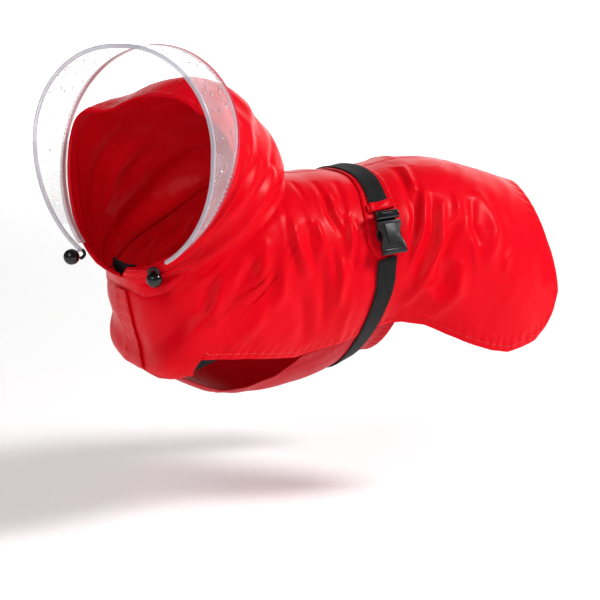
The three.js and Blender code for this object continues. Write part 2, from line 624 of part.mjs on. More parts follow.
addSheet("belt_keeper", red, keeperRows, 2, keeperThick, -1, (across, t) => {
  const over = 1 - smooth(0.84, 0.9, Math.abs(across));
  const lift = patchLift + seamGap + keeperThick + over * (beltThick + 2 * seamGap);
  return onCoat(keeperShift + across * keeperHalf, mix(keeperTop, keeperLow, t), lift);
});

// Side-release buckle on the left side
const buckleMiddle = sideAngleAt(-42);
const buckleLean = 2; // its upper end stands this far forward and its lower end this far back
const buckleAt = onCoat(1.5, buckleMiddle, 0);
const buckleTop = onCoat(-buckleLean, sideAngleAt(-27), 0);
const buckleDown = onCoat(buckleLean, sideAngleAt(-62), 0).sub(buckleTop).normalize();
const buckleOut = new THREE.Vector3(1, 0, 0).cross(buckleDown).normalize();
if (buckleOut.y > 0) buckleOut.negate();
const buckleAcross = new THREE.Vector3().crossVectors(buckleDown, buckleOut).normalize();
if (buckleAcross.x < 0) buckleAcross.negate();
function placeBuckle(name, geometry, across, down, out) {
  const { positions, index } = mergedShape(geometry);
  for (let i = 0; i < positions.length; i += 3) {
    const local = new THREE.Vector3().fromArray(positions, i);
    buckleAt.clone()
      .addScaledVector(buckleAcross, across(local))
      .addScaledVector(buckleDown, down(local))
      .addScaledVector(buckleOut, out(local)).toArray(positions, i);
  }
  addPiece(name, facingOut(positions, index), gloss);
}
const buckleBase = patchLift + 1.4; // its back, out from the coat
// Plug: a rounded bar with a flat tongue, as a profile across the strap
const tongue = 2.2;
const plugProfile = new THREE.Shape();
plugProfile.moveTo(-18, 0);
plugProfile.lineTo(12, 0);
plugProfile.lineTo(12, tongue);
plugProfile.lineTo(-10.5, tongue);
plugProfile.lineTo(-10.5, 5.5);
plugProfile.quadraticCurveTo(-11, 8.2, -14, 8.2);
plugProfile.quadraticCurveTo(-17.5, 8.2, -18, 4.5);
plugProfile.closePath();
const plugWidth = 21;
const plugOptions = { depth: plugWidth, bevelEnabled: false, curveSegments: 4 };
placeBuckle("buckle_plug", new THREE.ExtrudeGeometry(plugProfile, plugOptions),
  (p) => p.z - plugWidth / 2, (p) => p.x, (p) => p.y + buckleBase);
// Socket: a face with hollow sides and a bar at its lower end
const socketShape = new THREE.Shape();
const socketEdge = 0.6; // rounded off
const socketDepth = 3.6;
socketShape.moveTo(-10.5, -9.8);
socketShape.lineTo(10.5, -9.8);
socketShape.quadraticCurveTo(11, -6, 10.3, -4.5);
socketShape.quadraticCurveTo(5.7, 1.5, 10.3, 7.5);
socketShape.lineTo(11, 10.5);
socketShape.lineTo(11, 16.5);
socketShape.lineTo(-11, 16.5);
socketShape.lineTo(-11, 10.5);
socketShape.lineTo(-10.3, 7.5);
socketShape.quadraticCurveTo(-5.7, 1.5, -10.3, -4.5);
socketShape.quadraticCurveTo(-11, -6, -10.5, -9.8);
const socketOptions = {
  depth: socketDepth, curveSegments: 6, bevelSegments: 1,
  bevelThickness: socketEdge, bevelSize: socketEdge, bevelOffset: -socketEdge,
};
placeBuckle("buckle_socket", new THREE.ExtrudeGeometry(socketShape, socketOptions),
  (p) => p.x, (p) => p.y, (p) => p.z + socketEdge + buckleBase + tongue + seamGap);

export default coat;
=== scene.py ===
import math

import bpy
import numpy as np
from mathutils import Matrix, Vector


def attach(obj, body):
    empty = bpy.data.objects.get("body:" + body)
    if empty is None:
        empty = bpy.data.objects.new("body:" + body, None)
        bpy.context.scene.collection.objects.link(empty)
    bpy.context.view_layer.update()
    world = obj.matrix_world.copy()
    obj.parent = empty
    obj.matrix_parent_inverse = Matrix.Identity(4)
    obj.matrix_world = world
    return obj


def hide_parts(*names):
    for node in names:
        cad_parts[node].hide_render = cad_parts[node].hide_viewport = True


# dog raincoat, worn form. Shapes are worked out in millimetres and made in metres
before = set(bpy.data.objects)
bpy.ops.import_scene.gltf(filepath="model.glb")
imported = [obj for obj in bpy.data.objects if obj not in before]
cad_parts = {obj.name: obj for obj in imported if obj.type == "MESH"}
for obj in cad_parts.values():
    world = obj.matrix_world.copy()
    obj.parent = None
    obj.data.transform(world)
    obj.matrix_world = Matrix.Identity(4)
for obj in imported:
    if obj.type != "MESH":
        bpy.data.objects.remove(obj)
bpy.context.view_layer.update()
mm = 0.001
degree = math.pi / 180


# camera, at the photo's angle
camera = {
    "azimuth": -27, "elevation": 12, "distance": 1.5, "lens": 112.5, "sensor": 36,
    "near": 0.05, "far": 60, "target": (-0.0174, -0.0167, -0.0994),
}


def addCamera(settings):
    turn, rise = settings["azimuth"] * degree, settings["elevation"] * degree
    back = Vector((math.sin(turn) * math.cos(rise), -math.cos(turn) * math.cos(rise), math.sin(rise)))
    data = bpy.data.cameras.new("camera")
    data.lens, data.sensor_width = settings["lens"], settings["sensor"]
    data.clip_start, data.clip_end = settings["near"], settings["far"]
    made = bpy.data.objects.new("camera", data)
    made.location = Vector(settings["target"]) + back * settings["distance"]
    made.rotation_euler = (-back).to_track_quat("-Z", "Y").to_euler()
    bpy.context.collection.objects.link(made)
    bpy.context.scene.camera = made


addCamera(camera)
print("camera placed")


# tables and curves

def between(values, place):
    # a smooth curve through the rows of a table, place counted in rows
    values = np.asarray(values, float)
    last = len(values) - 1
    place = np.clip(place, 0, last)
    i = np.minimum(place.astype(int), last - 1)
    t = place - i
    a, b = values[np.clip(i - 1, 0, last)], values[i]
    c, d = values[np.clip(i + 1, 0, last)], values[np.clip(i + 2, 0, last)]
    return b + 0.5 * t * (c - a + t * (2 * a - 5 * b + 4 * c - d + t * (3 * (b - c) + d - a)))


def mix(a, b, t):
    return a + (b - a) * t


def smooth(low, high, value):
    t = np.clip((value - low) / (high - low), 0, 1)
    return t * t * (3 - 2 * t)


def bump(value, middle, width):
    return np.exp(-(((value - middle) / width) ** 2))


def unit(v):
    return v / np.maximum(np.linalg.norm(v, axis=-1, keepdims=True), 1e-9)


def stacked(*parts):
    return np.stack(np.broadcast_arrays(*parts), -1)


# the coat's form: rings from the neck seam to the tail
coatRings = {
    "topX": [-34, -28, -21, -13, -4, 8, 20, 31, 50, 80, 114, 154, 193],
    "topZ": [2.4, 2.0, 1.6, 1.3, 1.2, 1.3, 0, -0.8, 2.4, 6.8, 5.0, -6, -19.5],
    "lowX": [-164, -161, -155, -150, -106, -60, -8, 31, 50, 82, 118, 158, 206],
    "lowZ": [-77, -98, -120, -144, -164, -173, -168, -154, -150, -164, -185, -190, -180],
    "half": [63, 70, 73, 76, 77, 77, 77, 77, 77, 78, 79, 75, 62],
    "upper": [2.1, 2.2, 2.3, 2.4, 2.5, 2.5, 2.45, 2.4, 2.4, 2.4, 2.3, 2.0, 1.55],
    "lower": [2.4, 2.6, 2.5, 3.4, 2.5, 1.7, 1.5, 1.45, 1.6, 2.1, 2.5, 2.4, 2.0],
    "lead": [1.3, 1.5, 1.7, 1.7, 1.5, 1.2, 1, 1, 1, 1, 1, 1, 1],
}
lastRing = 12
chestHem = {"x": [-152, -145, -128], "z": [-143, -138, -138.5]}
sideHem = {
    "x": [-130, -91, -68, -42, -32, -15, 3, 15, 31, 52, 69, 88, 108, 130, 146, 163, 178, 188, 195, 200, 205],
    "z": [-124.5, -128, -131.5, -134.5, -132.5, -130, -126.8, -123, -119, -115.5, -118.5, -127.5, -137,
          -145, -148.5, -147, -143, -134, -121, -104, -82],
}
neckSeam = {"angle": [0, 60, 95, 125, 150, 168, 180], "place": [0, 0.35, 0.45, 0.6, 0.45, 0.12, 0.05]}
legFrontX, legCornerX = -128, -130
belt = {
    "width": 17, "thick": 1.6, "top": -25, "low": -59, "rows": 420,
    "angle": [0, 20, 45, 80, 110, 135, 180], "x": [34, 33, 29.5, 27.5, 24.5, 22, 22],
}


def coatForm(place, angle):
    place, angle = np.broadcast_arrays(np.asarray(place, float), np.asarray(angle, float))
    ring = {name: between(values, place) for name, values in coatRings.items()}
    cosine, sine = np.cos(angle), np.sin(angle)
    above = cosine > 0
    power = 2 / np.where(above, ring["upper"], ring["lower"])
    rise = np.abs(cosine) ** power
    run = np.where(above, rise, 1 - (1 - rise) ** ring["lead"])
    x = mix((ring["topX"] + ring["lowX"]) / 2, np.where(above, ring["topX"], ring["lowX"]), run)
    y = -ring["half"] * np.sign(sine) * np.abs(sine) ** power
    z = mix((ring["topZ"] + ring["lowZ"]) / 2, np.where(above, ring["topZ"], ring["lowZ"]), rise)
    return np.stack([x, y, z], -1)


def slopes(form, a, b, da=0.02, db=0.01):
    return form(a + da, b) - form(a - da, b), form(a, b + db) - form(a, b - db)


def formNormal(form, a, b):
    alongA, alongB = slopes(form, a, b)
    return -unit(np.cross(alongA, alongB))


def firstUnder(under, count):
    # the first angle below the shoulder at which a test holds
    low, high = np.full(count, math.pi / 4), np.full(count, math.pi)
    whole = ~under(high)
    for _ in range(40):
        middle = (low + high) / 2
        hit = under(middle)
        high, low = np.where(hit, middle, high), np.where(hit, low, middle)
    return np.where(whole, math.pi, low)


def hemAngleOn(hem, place):
    place = np.atleast_1d(np.asarray(place, float))

    def under(angle):
        point = coatForm(place, angle)
        return point[..., 2] < np.interp(point[..., 0], hem["x"], hem["z"])
    return firstUnder(under, len(place))


def placeWhere(hem, start, x):
    places = start + np.arange(0, 3, 0.005)
    edge = coatForm(places, hemAngleOn(hem, places))[:, 0]
    return float(places[np.argmax(edge >= x)])


legFrontPlace = placeWhere(sideHem, 2, legFrontX)
legCornerPlace = placeWhere(chestHem, legFrontPlace, legCornerX)


def hemAngle(place):
    return np.where(place < legFrontPlace, hemAngleOn(chestHem, place), hemAngleOn(sideHem, place))


def neckPlace(angle):
    return np.interp(np.abs(angle) / degree, neckSeam["angle"], neckSeam["place"])


def beltMiddle(angle):
    # x of the strap's middle line
    turned = np.abs(np.mod(np.asarray(angle) + math.pi, 2 * math.pi) - math.pi) / degree
    return np.interp(turned, belt["angle"], belt["x"])


# where a point lies on the unrolled coat, for the folds
unrolling = {"chestX": -90, "chestReach": 66, "middleZ": -73, "sideReach": 77}


def unrolled(point):
    x, y, z = point[..., 0], point[..., 1], point[..., 2]
    past = np.maximum(unrolling["chestX"] - x, 0)
    turned = unrolling["chestX"] - unrolling["chestReach"] * np.arctan2(past, np.abs(y))
    along = np.where(past > 0, turned, x)
    level = np.clip((z - unrolling["middleZ"]) / unrolling["sideReach"], -1, 1)
    return along, unrolling["sideReach"] * np.arccos(level)


# Creases of the left side, as the photo shows them: three places along each, its half width and its height.
# along is x, and runs on round the chest; around is the way down from the middle of the back
creaseColumns = ("along", "around", "width", "height")


def named(rows):
    return [dict(zip(creaseColumns, row)) for row in rows]


sideCreases = named([
    ((-104, -116, -132), (94, 109, 118), 5, 1.3),
    ((-111, -118, -123), (103, 119, 139), 6, -1.2),
    ((-105, -112, -119), (105, 127, 148), 7, 2.1),
    ((-90, -99, -106), (95, 110, 130), 6, 1.8),
    ((-84, -92, -101), (99, 112, 131), 5, -1.2),
    ((-72, -81, -98), (83, 116, 128), 7, 1.9),
    ((-92, -102, -113), (124, 136, 160), 9, -0.8),
    ((-76, -84, -106), (128, 148, 170), 10, 1.9),
    ((-64, -69, -72), (92, 112, 130), 8, -1.5),
    ((-61, -64, -74), (100, 126, 146), 8, 2),
    ((-52, -54, -48), (50, 90, 116), 5, -1.4),
    ((-53, -48, -41), (58, 94, 118), 9, 2.2),
    ((-36, -36, -32), (71, 95, 123), 6, -1.6),
    ((-31, -31, -24), (37, 71, 97), 5, 1.7),
    ((-31, -31, -30), (28, 52, 90), 4, -1.4),
    ((-13, -15, -8), (30, 65, 86), 5, -1.8),
    ((-9, -10, -6), (46, 66, 85), 4, 1.4),
    ((5, 0, 8), (32, 68, 83), 5, -1.6),
    ((3, -1, -1), (54, 88, 107), 6, 2.6),
    ((6, 2, -2), (82, 100, 115), 5, -2),
    ((-28, -27, -26), (98, 127, 165), 7, -1.8),
    ((-12, -12, -15), (104, 121, 142), 6, 2.3),
    ((-19, -16, -15), (94, 108, 123), 5, -1.4),
    ((-46, -43, -39), (126, 148, 176), 10, -1.8),
    ((9, 11, 8), (96, 131, 161), 9, 1.6),
    ((0, -6, -6), (130, 153, 185), 7, 1),
    ((65, 59, 57), (12, 50, 75), 6, -1.7),
    ((73, 66, 67), (0, 38, 53), 5, 1.6),
    ((72, 58, 43), (39, 78, 121), 6, -2.6),
    ((75, 64, 46), (39, 80, 123), 7, 2.3),
    ((79, 72, 44), (54, 89, 130), 8, -2.6),
    ((85, 76, 45), (61, 100, 148), 6, 2.3),
    ((84, 69, 46), (90, 120, 152), 7, 2.2),
    ((103, 86, 69), (74, 97, 125), 7, -2.7),
    ((101, 99, 93), (54, 70, 86), 6, 1.4),
    ((123, 132, 119), (55, 93, 123), 11, 2.3),
    ((116, 110, 115), (63, 87, 104), 6, -1.8),
    ((106, 108, 109), (97, 111, 126), 5, 1),
    ((87, 80, 69), (113, 129, 140), 11, -2.4),
    ((96, 91, 70), (114, 140, 162), 11, 2.8),
    ((150, 140, 136), (110, 119, 132), 6, 1),
])
rightSide = {"along": 7, "around": -6}  # the right side's creases lie a little further back and higher
hoodCreases = named([
    ((1.8, 1.55, 1.8), (52, 92, 130), 13, 5.2),
    ((0.85, 0.7, 1.1), (48, 86, 120), 10, -4.2),
    ((2.6, 2.7, 3.0), (62, 90, 110), 5, 1.5),
    ((3.0, 3.1, 2.8), (66, 96, 120), 7, -2.4),
    ((3.2, 3.9, 3.9), (56, 100, 128), 9, 2.4),
    ((3.4, 3.6, 3.8), (12, 50, 80), 9, 1.6),
    ((1.2, 1.45, 1.5), (121, 144, 161), 8, -2.5),
    ((2.1, 2.3, 2.4), (118, 142, 166), 6, 1.6),
    ((2.2, 2.0, 2.2), (20, 60, 84), 6, -1.2),
    ((4.6, 4.7, 4.6), (30, 62, 100), 7, -1),
])
hoodUnits = {"along": 20, "around": 1.4}  # millimetres for a ring, and for a degree
creaseForm = {"spread": 1.3, "rise": 1.5, "crispWidth": 0.38, "crispShare": 0.35, "ends": 0.7}
calm = {"strap": (13, 30), "backSeam": (0, 12)}  # how far from each the creases die out and are whole


def creaseHeight(creases, along, around, units=None):
    perRing, perDegree = (units["along"], units["around"]) if units else (1, 1)
    height = np.zeros_like(along)
    for crease in creases:
        width = crease["width"] * creaseForm["spread"]
        nearest = np.full_like(along, width)
        share = np.zeros_like(along)
        for leg in (0, 1):
            fromA, toA = crease["along"][leg] * perRing, crease["along"][leg + 1] * perRing
            fromB, toB = crease["around"][leg] * perDegree, crease["around"][leg + 1] * perDegree
            runA, runB = toA - fromA, toB - fromB
            t = np.clip(((along - fromA) * runA + (around - fromB) * runB) / (runA**2 + runB**2), 0, 1)
            off = np.hypot(along - fromA - t * runA, around - fromB - t * runB)
            closer = off < nearest
            nearest, share = np.where(closer, off, nearest), np.where(closer, (leg + t) / 2, share)
        across = nearest / width
        soft = np.cos(across * math.pi / 2) ** 2 * creaseForm["rise"]
        crisp = bump(across, 0, creaseForm["crispWidth"]) * soft
        ends = np.sin(share * math.pi) ** creaseForm["ends"]
        height += crease["height"] * mix(soft, crisp, creaseForm["crispShare"]) * ends
    return height


def ripple(along, around):
    # the small unevenness that nylon keeps between its creases
    return (
        0.30 * np.sin(along / 7.1 + 0.9 * np.sin(around / 17.0))
        * np.sin(around / 11.3 + 0.7 * np.sin(along / 19.0 + 1))
        + 0.22 * np.sin(along / 3.7 + around / 9.0 + np.sin(around / 6.1))
        * np.sin(around / 23.0 + along / 31.0)
    )


def coatOuter(place, angle, lift=0):
    form = coatForm(place, angle)
    along, around = unrolled(form)
    right = form[..., 1] > 0
    fromStrap = np.abs(form[..., 0] - beltMiddle(angle))
    clear = smooth(*calm["strap"], fromStrap) * smooth(*calm["backSeam"], np.abs(form[..., 1]))
    moved = along - rightSide["along"] * right, around - rightSide["around"] * right
    height = creaseHeight(sideCreases, *moved)
    height = (height + ripple(along, around)) * clear
    return form + formNormal(coatForm, place, angle) * (height + lift)[..., None]


# the hood's form and the visor's
hoodRings = {
    "topX": [-34, -37, -51, -73, -95, -120, -143],
    "topY": [0, -3, -7, -12, -17, -21, -26],
    "topZ": [3, 20, 41, 61, 80, 86, 74],
    "lowX": [-162, -166, -170, -174, -177, -179, -180],
    "lowY": [0, -8, -16, -25, -33, -40, -46],
    "lowZ": [-77, -72, -68, -64, -60, -57, -56],
    "half": [63, 68, 74, 79, 82, 84, 84],
    "turn": [0, 4, 8, 13, 18, 22, 26],
}
lastHoodRing = 6
collarTop = {"angle": [0, 90, 140, 180], "place": [0.7, 0.9, 1.7, 2.7]}
casingEdge = {"angle": [0, 90, 140, 180], "place": [5.62, 5.45, 4.9, 4.3]}
visor = {
    "middle": (-180, -46, 33), "turn": 26, "frontHalf": 88, "backHalf": 84.5, "frontUp": 77, "backUp": 75,
    "down": 89, "fuller": 4, "depthRise": 72, "depthBend": 26, "end": 151, "bindingEnd": 146,
    "filmEnd": 133, "rim": 1.7, "binding": 5.5, "bindingThick": 2, "wall": 1, "casingGap": 1.4,
}
visorTurn = visor["turn"] * degree
ahead = np.array([-math.cos(visorTurn), -math.sin(visorTurn), 0])
aside = np.array([math.sin(visorTurn), -math.cos(visorTurn), 0])
upward = np.array([0.0, 0, 1])
brimDrop, brimInset = np.array([-4.0, 0, -38]), 22
throatDrop = np.array([0.0, 0, -7])


def onto(table, angle):
    return np.interp(np.abs(angle) / degree, table["angle"], table["place"])


def hoodRing(place, angle):
    ring = {name: between(values, place) for name, values in hoodRings.items()}
    top = stacked(ring["topX"], ring["topY"], ring["topZ"])
    low = stacked(ring["lowX"], ring["lowY"], ring["lowZ"])
    turn = ring["turn"] * degree
    out = stacked(np.sin(turn), -np.cos(turn), 0 * turn)
    return (top + low) / 2 + (top - low) / 2 * np.cos(angle)[..., None] \
        + out * (ring["half"] * np.sin(angle))[..., None]


def visorDepth(angle):
    rise = (1 + np.cos(angle)) / 2
    return np.maximum(3, visor["depthRise"] * rise - visor["depthBend"] * rise * rise)


def visorPoint(angle, share):
    angle, share = np.broadcast_arrays(np.asarray(angle, float), np.asarray(share, float))
    up = np.where(np.cos(angle) > 0, mix(visor["frontUp"], visor["backUp"], share), visor["down"])
    fuller = visor["fuller"] * (1 - share) * np.maximum(0, np.sin(2 * angle)) * (angle > 0)
    half = mix(visor["frontHalf"], visor["backHalf"], share)
    return (
        np.array(visor["middle"], float)
        + aside * ((half + fuller) * np.sin(angle))[..., None]
        + upward * ((up + fuller) * np.cos(angle))[..., None]
        - ahead * (visorDepth(angle) * share)[..., None]
    )


def faceEdge(angle):
    left = angle > 0
    turned = np.abs(angle) / degree
    dip = 1 - np.where(left, smooth(18, 90, turned), smooth(30, 85, turned))
    inset = np.where(left, smooth(15, 50, turned) * (1 - smooth(60, 105, turned)), 0)
    drop = np.where(left, 0, smooth(105, 155, turned))
    edge = visorPoint(angle, 1 + (visor["binding"] / 2 + visor["casingGap"]) / visorDepth(angle))
    return edge + brimDrop * dip[..., None] - aside * (brimInset * inset)[..., None] \
        + throatDrop * drop[..., None]


def hoodForm(place, angle):
    place, angle = np.broadcast_arrays(np.asarray(place, float), np.asarray(angle, float))
    toSeam = coatForm(neckPlace(angle), angle) - hoodRing(0 * place, angle)
    toFace = faceEdge(angle) - hoodRing(0 * place + lastHoodRing, angle)
    return hoodRing(place, angle) + toSeam * (1 - smooth(0, 2.5, place))[..., None] \
        + toFace * (smooth(1, lastHoodRing, place) ** 1.2)[..., None]


def hoodOuter(place, angle, lift=0):
    place, angle = np.broadcast_arrays(np.asarray(place, float), np.asarray(angle, float))
    around = (np.abs(angle) / degree + np.where(angle < 0, 4, 0)) * hoodUnits["around"]
    along = place * hoodUnits["along"]
    height = creaseHeight(hoodCreases, along, around, hoodUnits) + ripple(along, around + 30)
    ends = smooth(0, 0.5, place) * smooth(0, 0.4, lastHoodRing - place)
    return hoodForm(place, angle) - formNormal(hoodForm, place, angle) * (height * ends + lift)[..., None]


print("forms ready")


# materials

def newMaterial(name, colour, **settings):
    made = bpy.data.materials.new(name)
    made.use_nodes = True
    shader = made.node_tree.nodes["Principled BSDF"]
    shader.inputs["Base Color"].default_value = (*colour, 1)
    for socket, value in settings.items():
        shader.inputs[socket.replace("_", " ")].default_value = value
    return made, made.node_tree, shader


def addNode(tree, kind, inputs=None, **settings):
    node = tree.nodes.new("ShaderNode" + kind)
    for key, value in settings.items():
        setattr(node, key, value)
    for socket, value in (inputs or {}).items():
        if isinstance(value, bpy.types.NodeSocket):
            tree.links.new(value, node.inputs[socket])
        else:
            node.inputs[socket].default_value = value
    return node


def coords(tree):
    return addNode(tree, "TexCoord").outputs["Object"]


def cutPlace(tree):
    # where a point lies on its flat cut: along, across and in from the edge, in metres
    return addNode(tree, "Attribute", attribute_name="cutPlace").outputs["Vector"]


def noise(tree, place, scale, detail=3, rough=0.5):
    return addNode(tree, "TexNoise", {"Vector": place, "Scale": scale, "Detail": detail, "Roughness": rough})


def blendColour(tree, factor, low, high):
    node = addNode(tree, "Mix", data_type="RGBA")
    tree.links.new(factor, node.inputs["Factor"])
    node.inputs["A"].default_value, node.inputs["B"].default_value = (*low, 1), (*high, 1)
    return node.outputs["Result"]


def levels(tree, value, low, high, toLow=0, toHigh=1):
    return addNode(tree, "MapRange", {
        "Value": value, "From Min": low, "From Max": high, "To Min": toLow, "To Max": toHigh,
    }).outputs["Result"]


def bumps(tree, shader, layers):
    last = None
    for height, strength, distance in layers:
        inputs = {"Height": height, "Strength": strength, "Distance": distance}
        if last is not None:
            inputs["Normal"] = last
        last = addNode(tree, "Bump", inputs).outputs["Normal"]
    tree.links.new(last, shader.inputs["Normal"])


def unevenGloss(tree, shader, scale, detail, low, high):
    patches = noise(tree, coords(tree), scale, detail)
    tree.links.new(levels(tree, patches.outputs["Fac"], 0.3, 0.7, low, high), shader.inputs["Roughness"])


def nylon(name, colour, shade, roughness, gloss):
    made, tree, shader = newMaterial(name, colour, Roughness=roughness, IOR=gloss)
    place = coords(tree)
    patches = noise(tree, place, 14, 2)
    tint = blendColour(tree, levels(tree, patches.outputs["Fac"], 0.3, 0.7), shade, colour)
    tree.links.new(tint, shader.inputs["Base Color"])
    unevenGloss(tree, shader, 45, 3, roughness - 0.05, roughness + 0.07)
    crinkle = noise(tree, place, 120, 4, 0.6)
    thread = noise(tree, place, 2600, 1)
    bumps(tree, shader, [(crinkle.outputs["Fac"], 0.14, 0.0012), (thread.outputs["Fac"], 0.12, 0.0001)])
    return made


coatNylon = nylon("coat_nylon", (0.80, 0.002, 0.012), (0.74, 0.0015, 0.009), 0.33, 1.14)
# the belly piece uses the coat's red made darker and duller, a painted shade for the underside of the coat
bellyNylonShaded = nylon("belly_nylon", (0.55, 0.005, 0.016), (0.49, 0.004, 0.013), 0.45, 1.15)


# black material for the sheets set into the neck and leg hollows, painted shade for those hollows
def blackShadeFacing():
    made, tree, shader = newMaterial(
        "dark_facing", (0.008, 0.008, 0.009), Roughness=0.8, Specular_IOR_Level=0.2)
    weave = noise(tree, coords(tree), 1500, 2)
    bumps(tree, shader, [(weave.outputs["Fac"], 0.3, 0.0002)])
    return made


def webbing():
    # flat woven strap: slanting ribs across it, finer threads along it and a firmer edge
    made, tree, shader = newMaterial(
        "webbing", (0.012, 0.013, 0.014), Roughness=0.7, Specular_IOR_Level=0.25)
    place = cutPlace(tree)
    axes = addNode(tree, "SeparateXYZ", {"Vector": place})
    ribs = addNode(tree, "TexWave", {
        "Vector": place, "Scale": 260, "Distortion": 0.6, "Detail": 1, "Detail Scale": 2,
    }, wave_type="BANDS", bands_direction="X")
    threads = addNode(tree, "TexWave", {
        "Vector": place, "Scale": 420, "Distortion": 0.4, "Detail": 1,
    }, wave_type="BANDS", bands_direction="Y")
    worn = noise(tree, place, 90, 3)
    share = levels(tree, worn.outputs["Fac"], 0.35, 0.7)
    tint = blendColour(tree, share, (0.003, 0.0033, 0.0036), (0.007, 0.0074, 0.008))
    tree.links.new(tint, shader.inputs["Base Color"])
    edge = addNode(tree, "Math", {0: axes.outputs["Z"], 1: 0.0011}, operation="LESS_THAN").outputs[0]
    bumps(tree, shader, [
        (ribs.outputs["Fac"], 0.55, 0.00035), (threads.outputs["Fac"], 0.4, 0.00025), (edge, 0.3, 0.0002),
    ])
    return made


def clearVinyl(name, colour, low, high, roughness):
    # clear where it is faced, whiter where it is seen edge on: a painted reflection, made by raising the
    # alpha of the pale colour
    made, tree, shader = newMaterial(name, colour, Roughness=roughness, IOR=1.5)
    facing = addNode(tree, "LayerWeight", {"Blend": 0.45}).outputs["Facing"]
    haze = noise(tree, coords(tree), 60, 3)
    uneven = levels(tree, haze.outputs["Fac"], 0.3, 0.7, -0.03, 0.03)
    whole = addNode(tree, "Math", {0: levels(tree, facing, 0, 1, low, high), 1: uneven})
    tree.links.new(whole.outputs[0], shader.inputs["Alpha"])
    waves = noise(tree, coords(tree), 22, 2)
    bumps(tree, shader, [(waves.outputs["Fac"], 0.25, 0.003)])
    return made


def moulded(name, colour, roughness):
    made, tree, shader = newMaterial(name, colour, Roughness=roughness, IOR=1.5)
    grain = noise(tree, coords(tree), 900, 2)
    scuffs = noise(tree, coords(tree), 60, 4)
    tree.links.new(
        levels(tree, scuffs.outputs["Fac"], 0.3, 0.75, roughness - 0.06, roughness + 0.12),
        shader.inputs["Roughness"],
    )
    bumps(tree, shader, [(grain.outputs["Fac"], 0.08, 0.0002)])
    return made


shadeFacingBlack = blackShadeFacing()
strapBlack = webbing()
filmClear = clearVinyl("clear_vinyl", (0.86, 0.85, 0.9), 0.04, 0.34, 0.1)
rimClear = clearVinyl("rim_vinyl", (0.60, 0.57, 0.64), 0.55, 0.9, 0.16)
hemClear = clearVinyl("visor_hem", (0.80, 0.72, 0.77), 0.3, 0.75, 0.16)
hemRed = clearVinyl("visor_piping", (0.74, 0.03, 0.07), 0.78, 0.97, 0.25)
glossBlack = moulded("gloss_black", (0.006, 0.006, 0.007), 0.17)
buckleBlack = moulded("buckle_black", (0.009, 0.009, 0.010), 0.33)
elasticBlack = moulded("elastic_black", (0.012, 0.012, 0.013), 0.75)
threadRed = moulded("thread_red", (0.60, 0.004, 0.010), 0.5)
threadBlack = moulded("thread_black", (0.012, 0.012, 0.013), 0.6)


def waterDrop():
    made, tree, shader = newMaterial(
        "water_drop", (1, 1, 1), Roughness=0.02, IOR=1.33, Transmission_Weight=1.0)
    unevenGloss(tree, shader, 300, 1, 0.01, 0.05)
    return made


waterClear = waterDrop()
print("materials ready")


# making pieces

def piece(name, verts, faces, material, replaces=(), sharp=40):
    mesh = bpy.data.meshes.new(name)
    mesh.from_pydata([tuple(v) for v in np.asarray(verts) * mm], [], [tuple(f) for f in faces])
    mesh.validate()
    mesh.update()
    mesh.polygons.foreach_set("use_smooth", [True] * len(mesh.polygons))
    mesh.set_sharp_from_angle(angle=sharp * degree)
    mesh.materials.append(material)
    made = bpy.data.objects.new(name, mesh)
    bpy.context.collection.objects.link(made)
    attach(made, "root")
    if replaces:
        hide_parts(*replaces)
    return made


def gridNormals(points, turned):
    return unit(np.cross(np.gradient(points, axis=0), np.gradient(points, axis=1))) * turned


def runLength(points, axis):
    steps = np.linalg.norm(np.diff(points, axis=axis), axis=-1)
    start = np.zeros_like(np.take(steps, [0], axis=axis))
    return np.concatenate([start, np.cumsum(steps, axis=axis)], axis=axis)


def edgeRuns(points):
    # how far a grid's points lie from its first and last row, and from its left and right column
    up, left = runLength(points, 0), runLength(points, 1)
    return up, runLength(points[::-1], 0)[::-1], left, left[:, -1:] - left


def raised(points, turned, relief):
    return points + gridNormals(points, turned) * relief[..., None]


def cutAttribute(made, along, across, inward):
    values = np.stack([along, across, inward], -1).reshape(-1, 3) * mm
    attribute = made.data.attributes.new("cutPlace", "FLOAT_VECTOR", "POINT")
    attribute.data.foreach_set("vector", values.astype(np.float32).ravel())


def wall(name, points, turned, thick, material, replaces=(), leaveOut=None):
    # a closed thin wall behind a grid of outer points. leaveOut marks cells with no cloth
    rows, columns = points.shape[:2]
    normals = gridNormals(points, turned)
    inner = points - normals * thick
    number = np.arange(rows * columns).reshape(rows, columns)
    cell = np.ones((rows - 1, columns - 1), bool) if leaveOut is None else ~leaveOut
    a, b, c, d = number[:-1, :-1], number[:-1, 1:], number[1:, 1:], number[1:, :-1]
    outerFaces = np.stack([a, b, c, d], -1)[cell]
    flip = turned < 0
    size = rows * columns
    faces = [outerFaces[:, ::-1] if flip else outerFaces]
    faces.append(faces[0][:, ::-1] + size)
    # the rim runs along every edge that only one cell has
    edges = {}
    for face in faces[0]:
        for i in range(4):
            p, q = int(face[i]), int(face[(i + 1) % 4])
            if (q, p) in edges:
                del edges[(q, p)]
            else:
                edges[(p, q)] = True
    rim = np.array([(q, p, p + size, q + size) for p, q in edges])
    faces.append(rim)
    used = np.unique(np.concatenate([f.ravel() for f in faces]))
    renumber = np.full(2 * size, -1)
    renumber[used] = np.arange(len(used))
    verts = np.concatenate([points.reshape(-1, 3), inner.reshape(-1, 3)])[used]
    made = piece(name, verts, renumber[np.concatenate(faces)], material, replaces, 75)
    along, _, left, right = edgeRuns(points)
    both = [np.concatenate([v.ravel(), v.ravel()])[used] for v in (along, left, np.minimum(left, right))]
    cutAttribute(made, *both)
    return made


def nylonWall(name, points, turned, relief, node, thick=0.7, leaveOut=None):
    points = raised(points, turned, relief)
    return wall(name, points, turned, thick, coatNylon, [node], leaveOut)


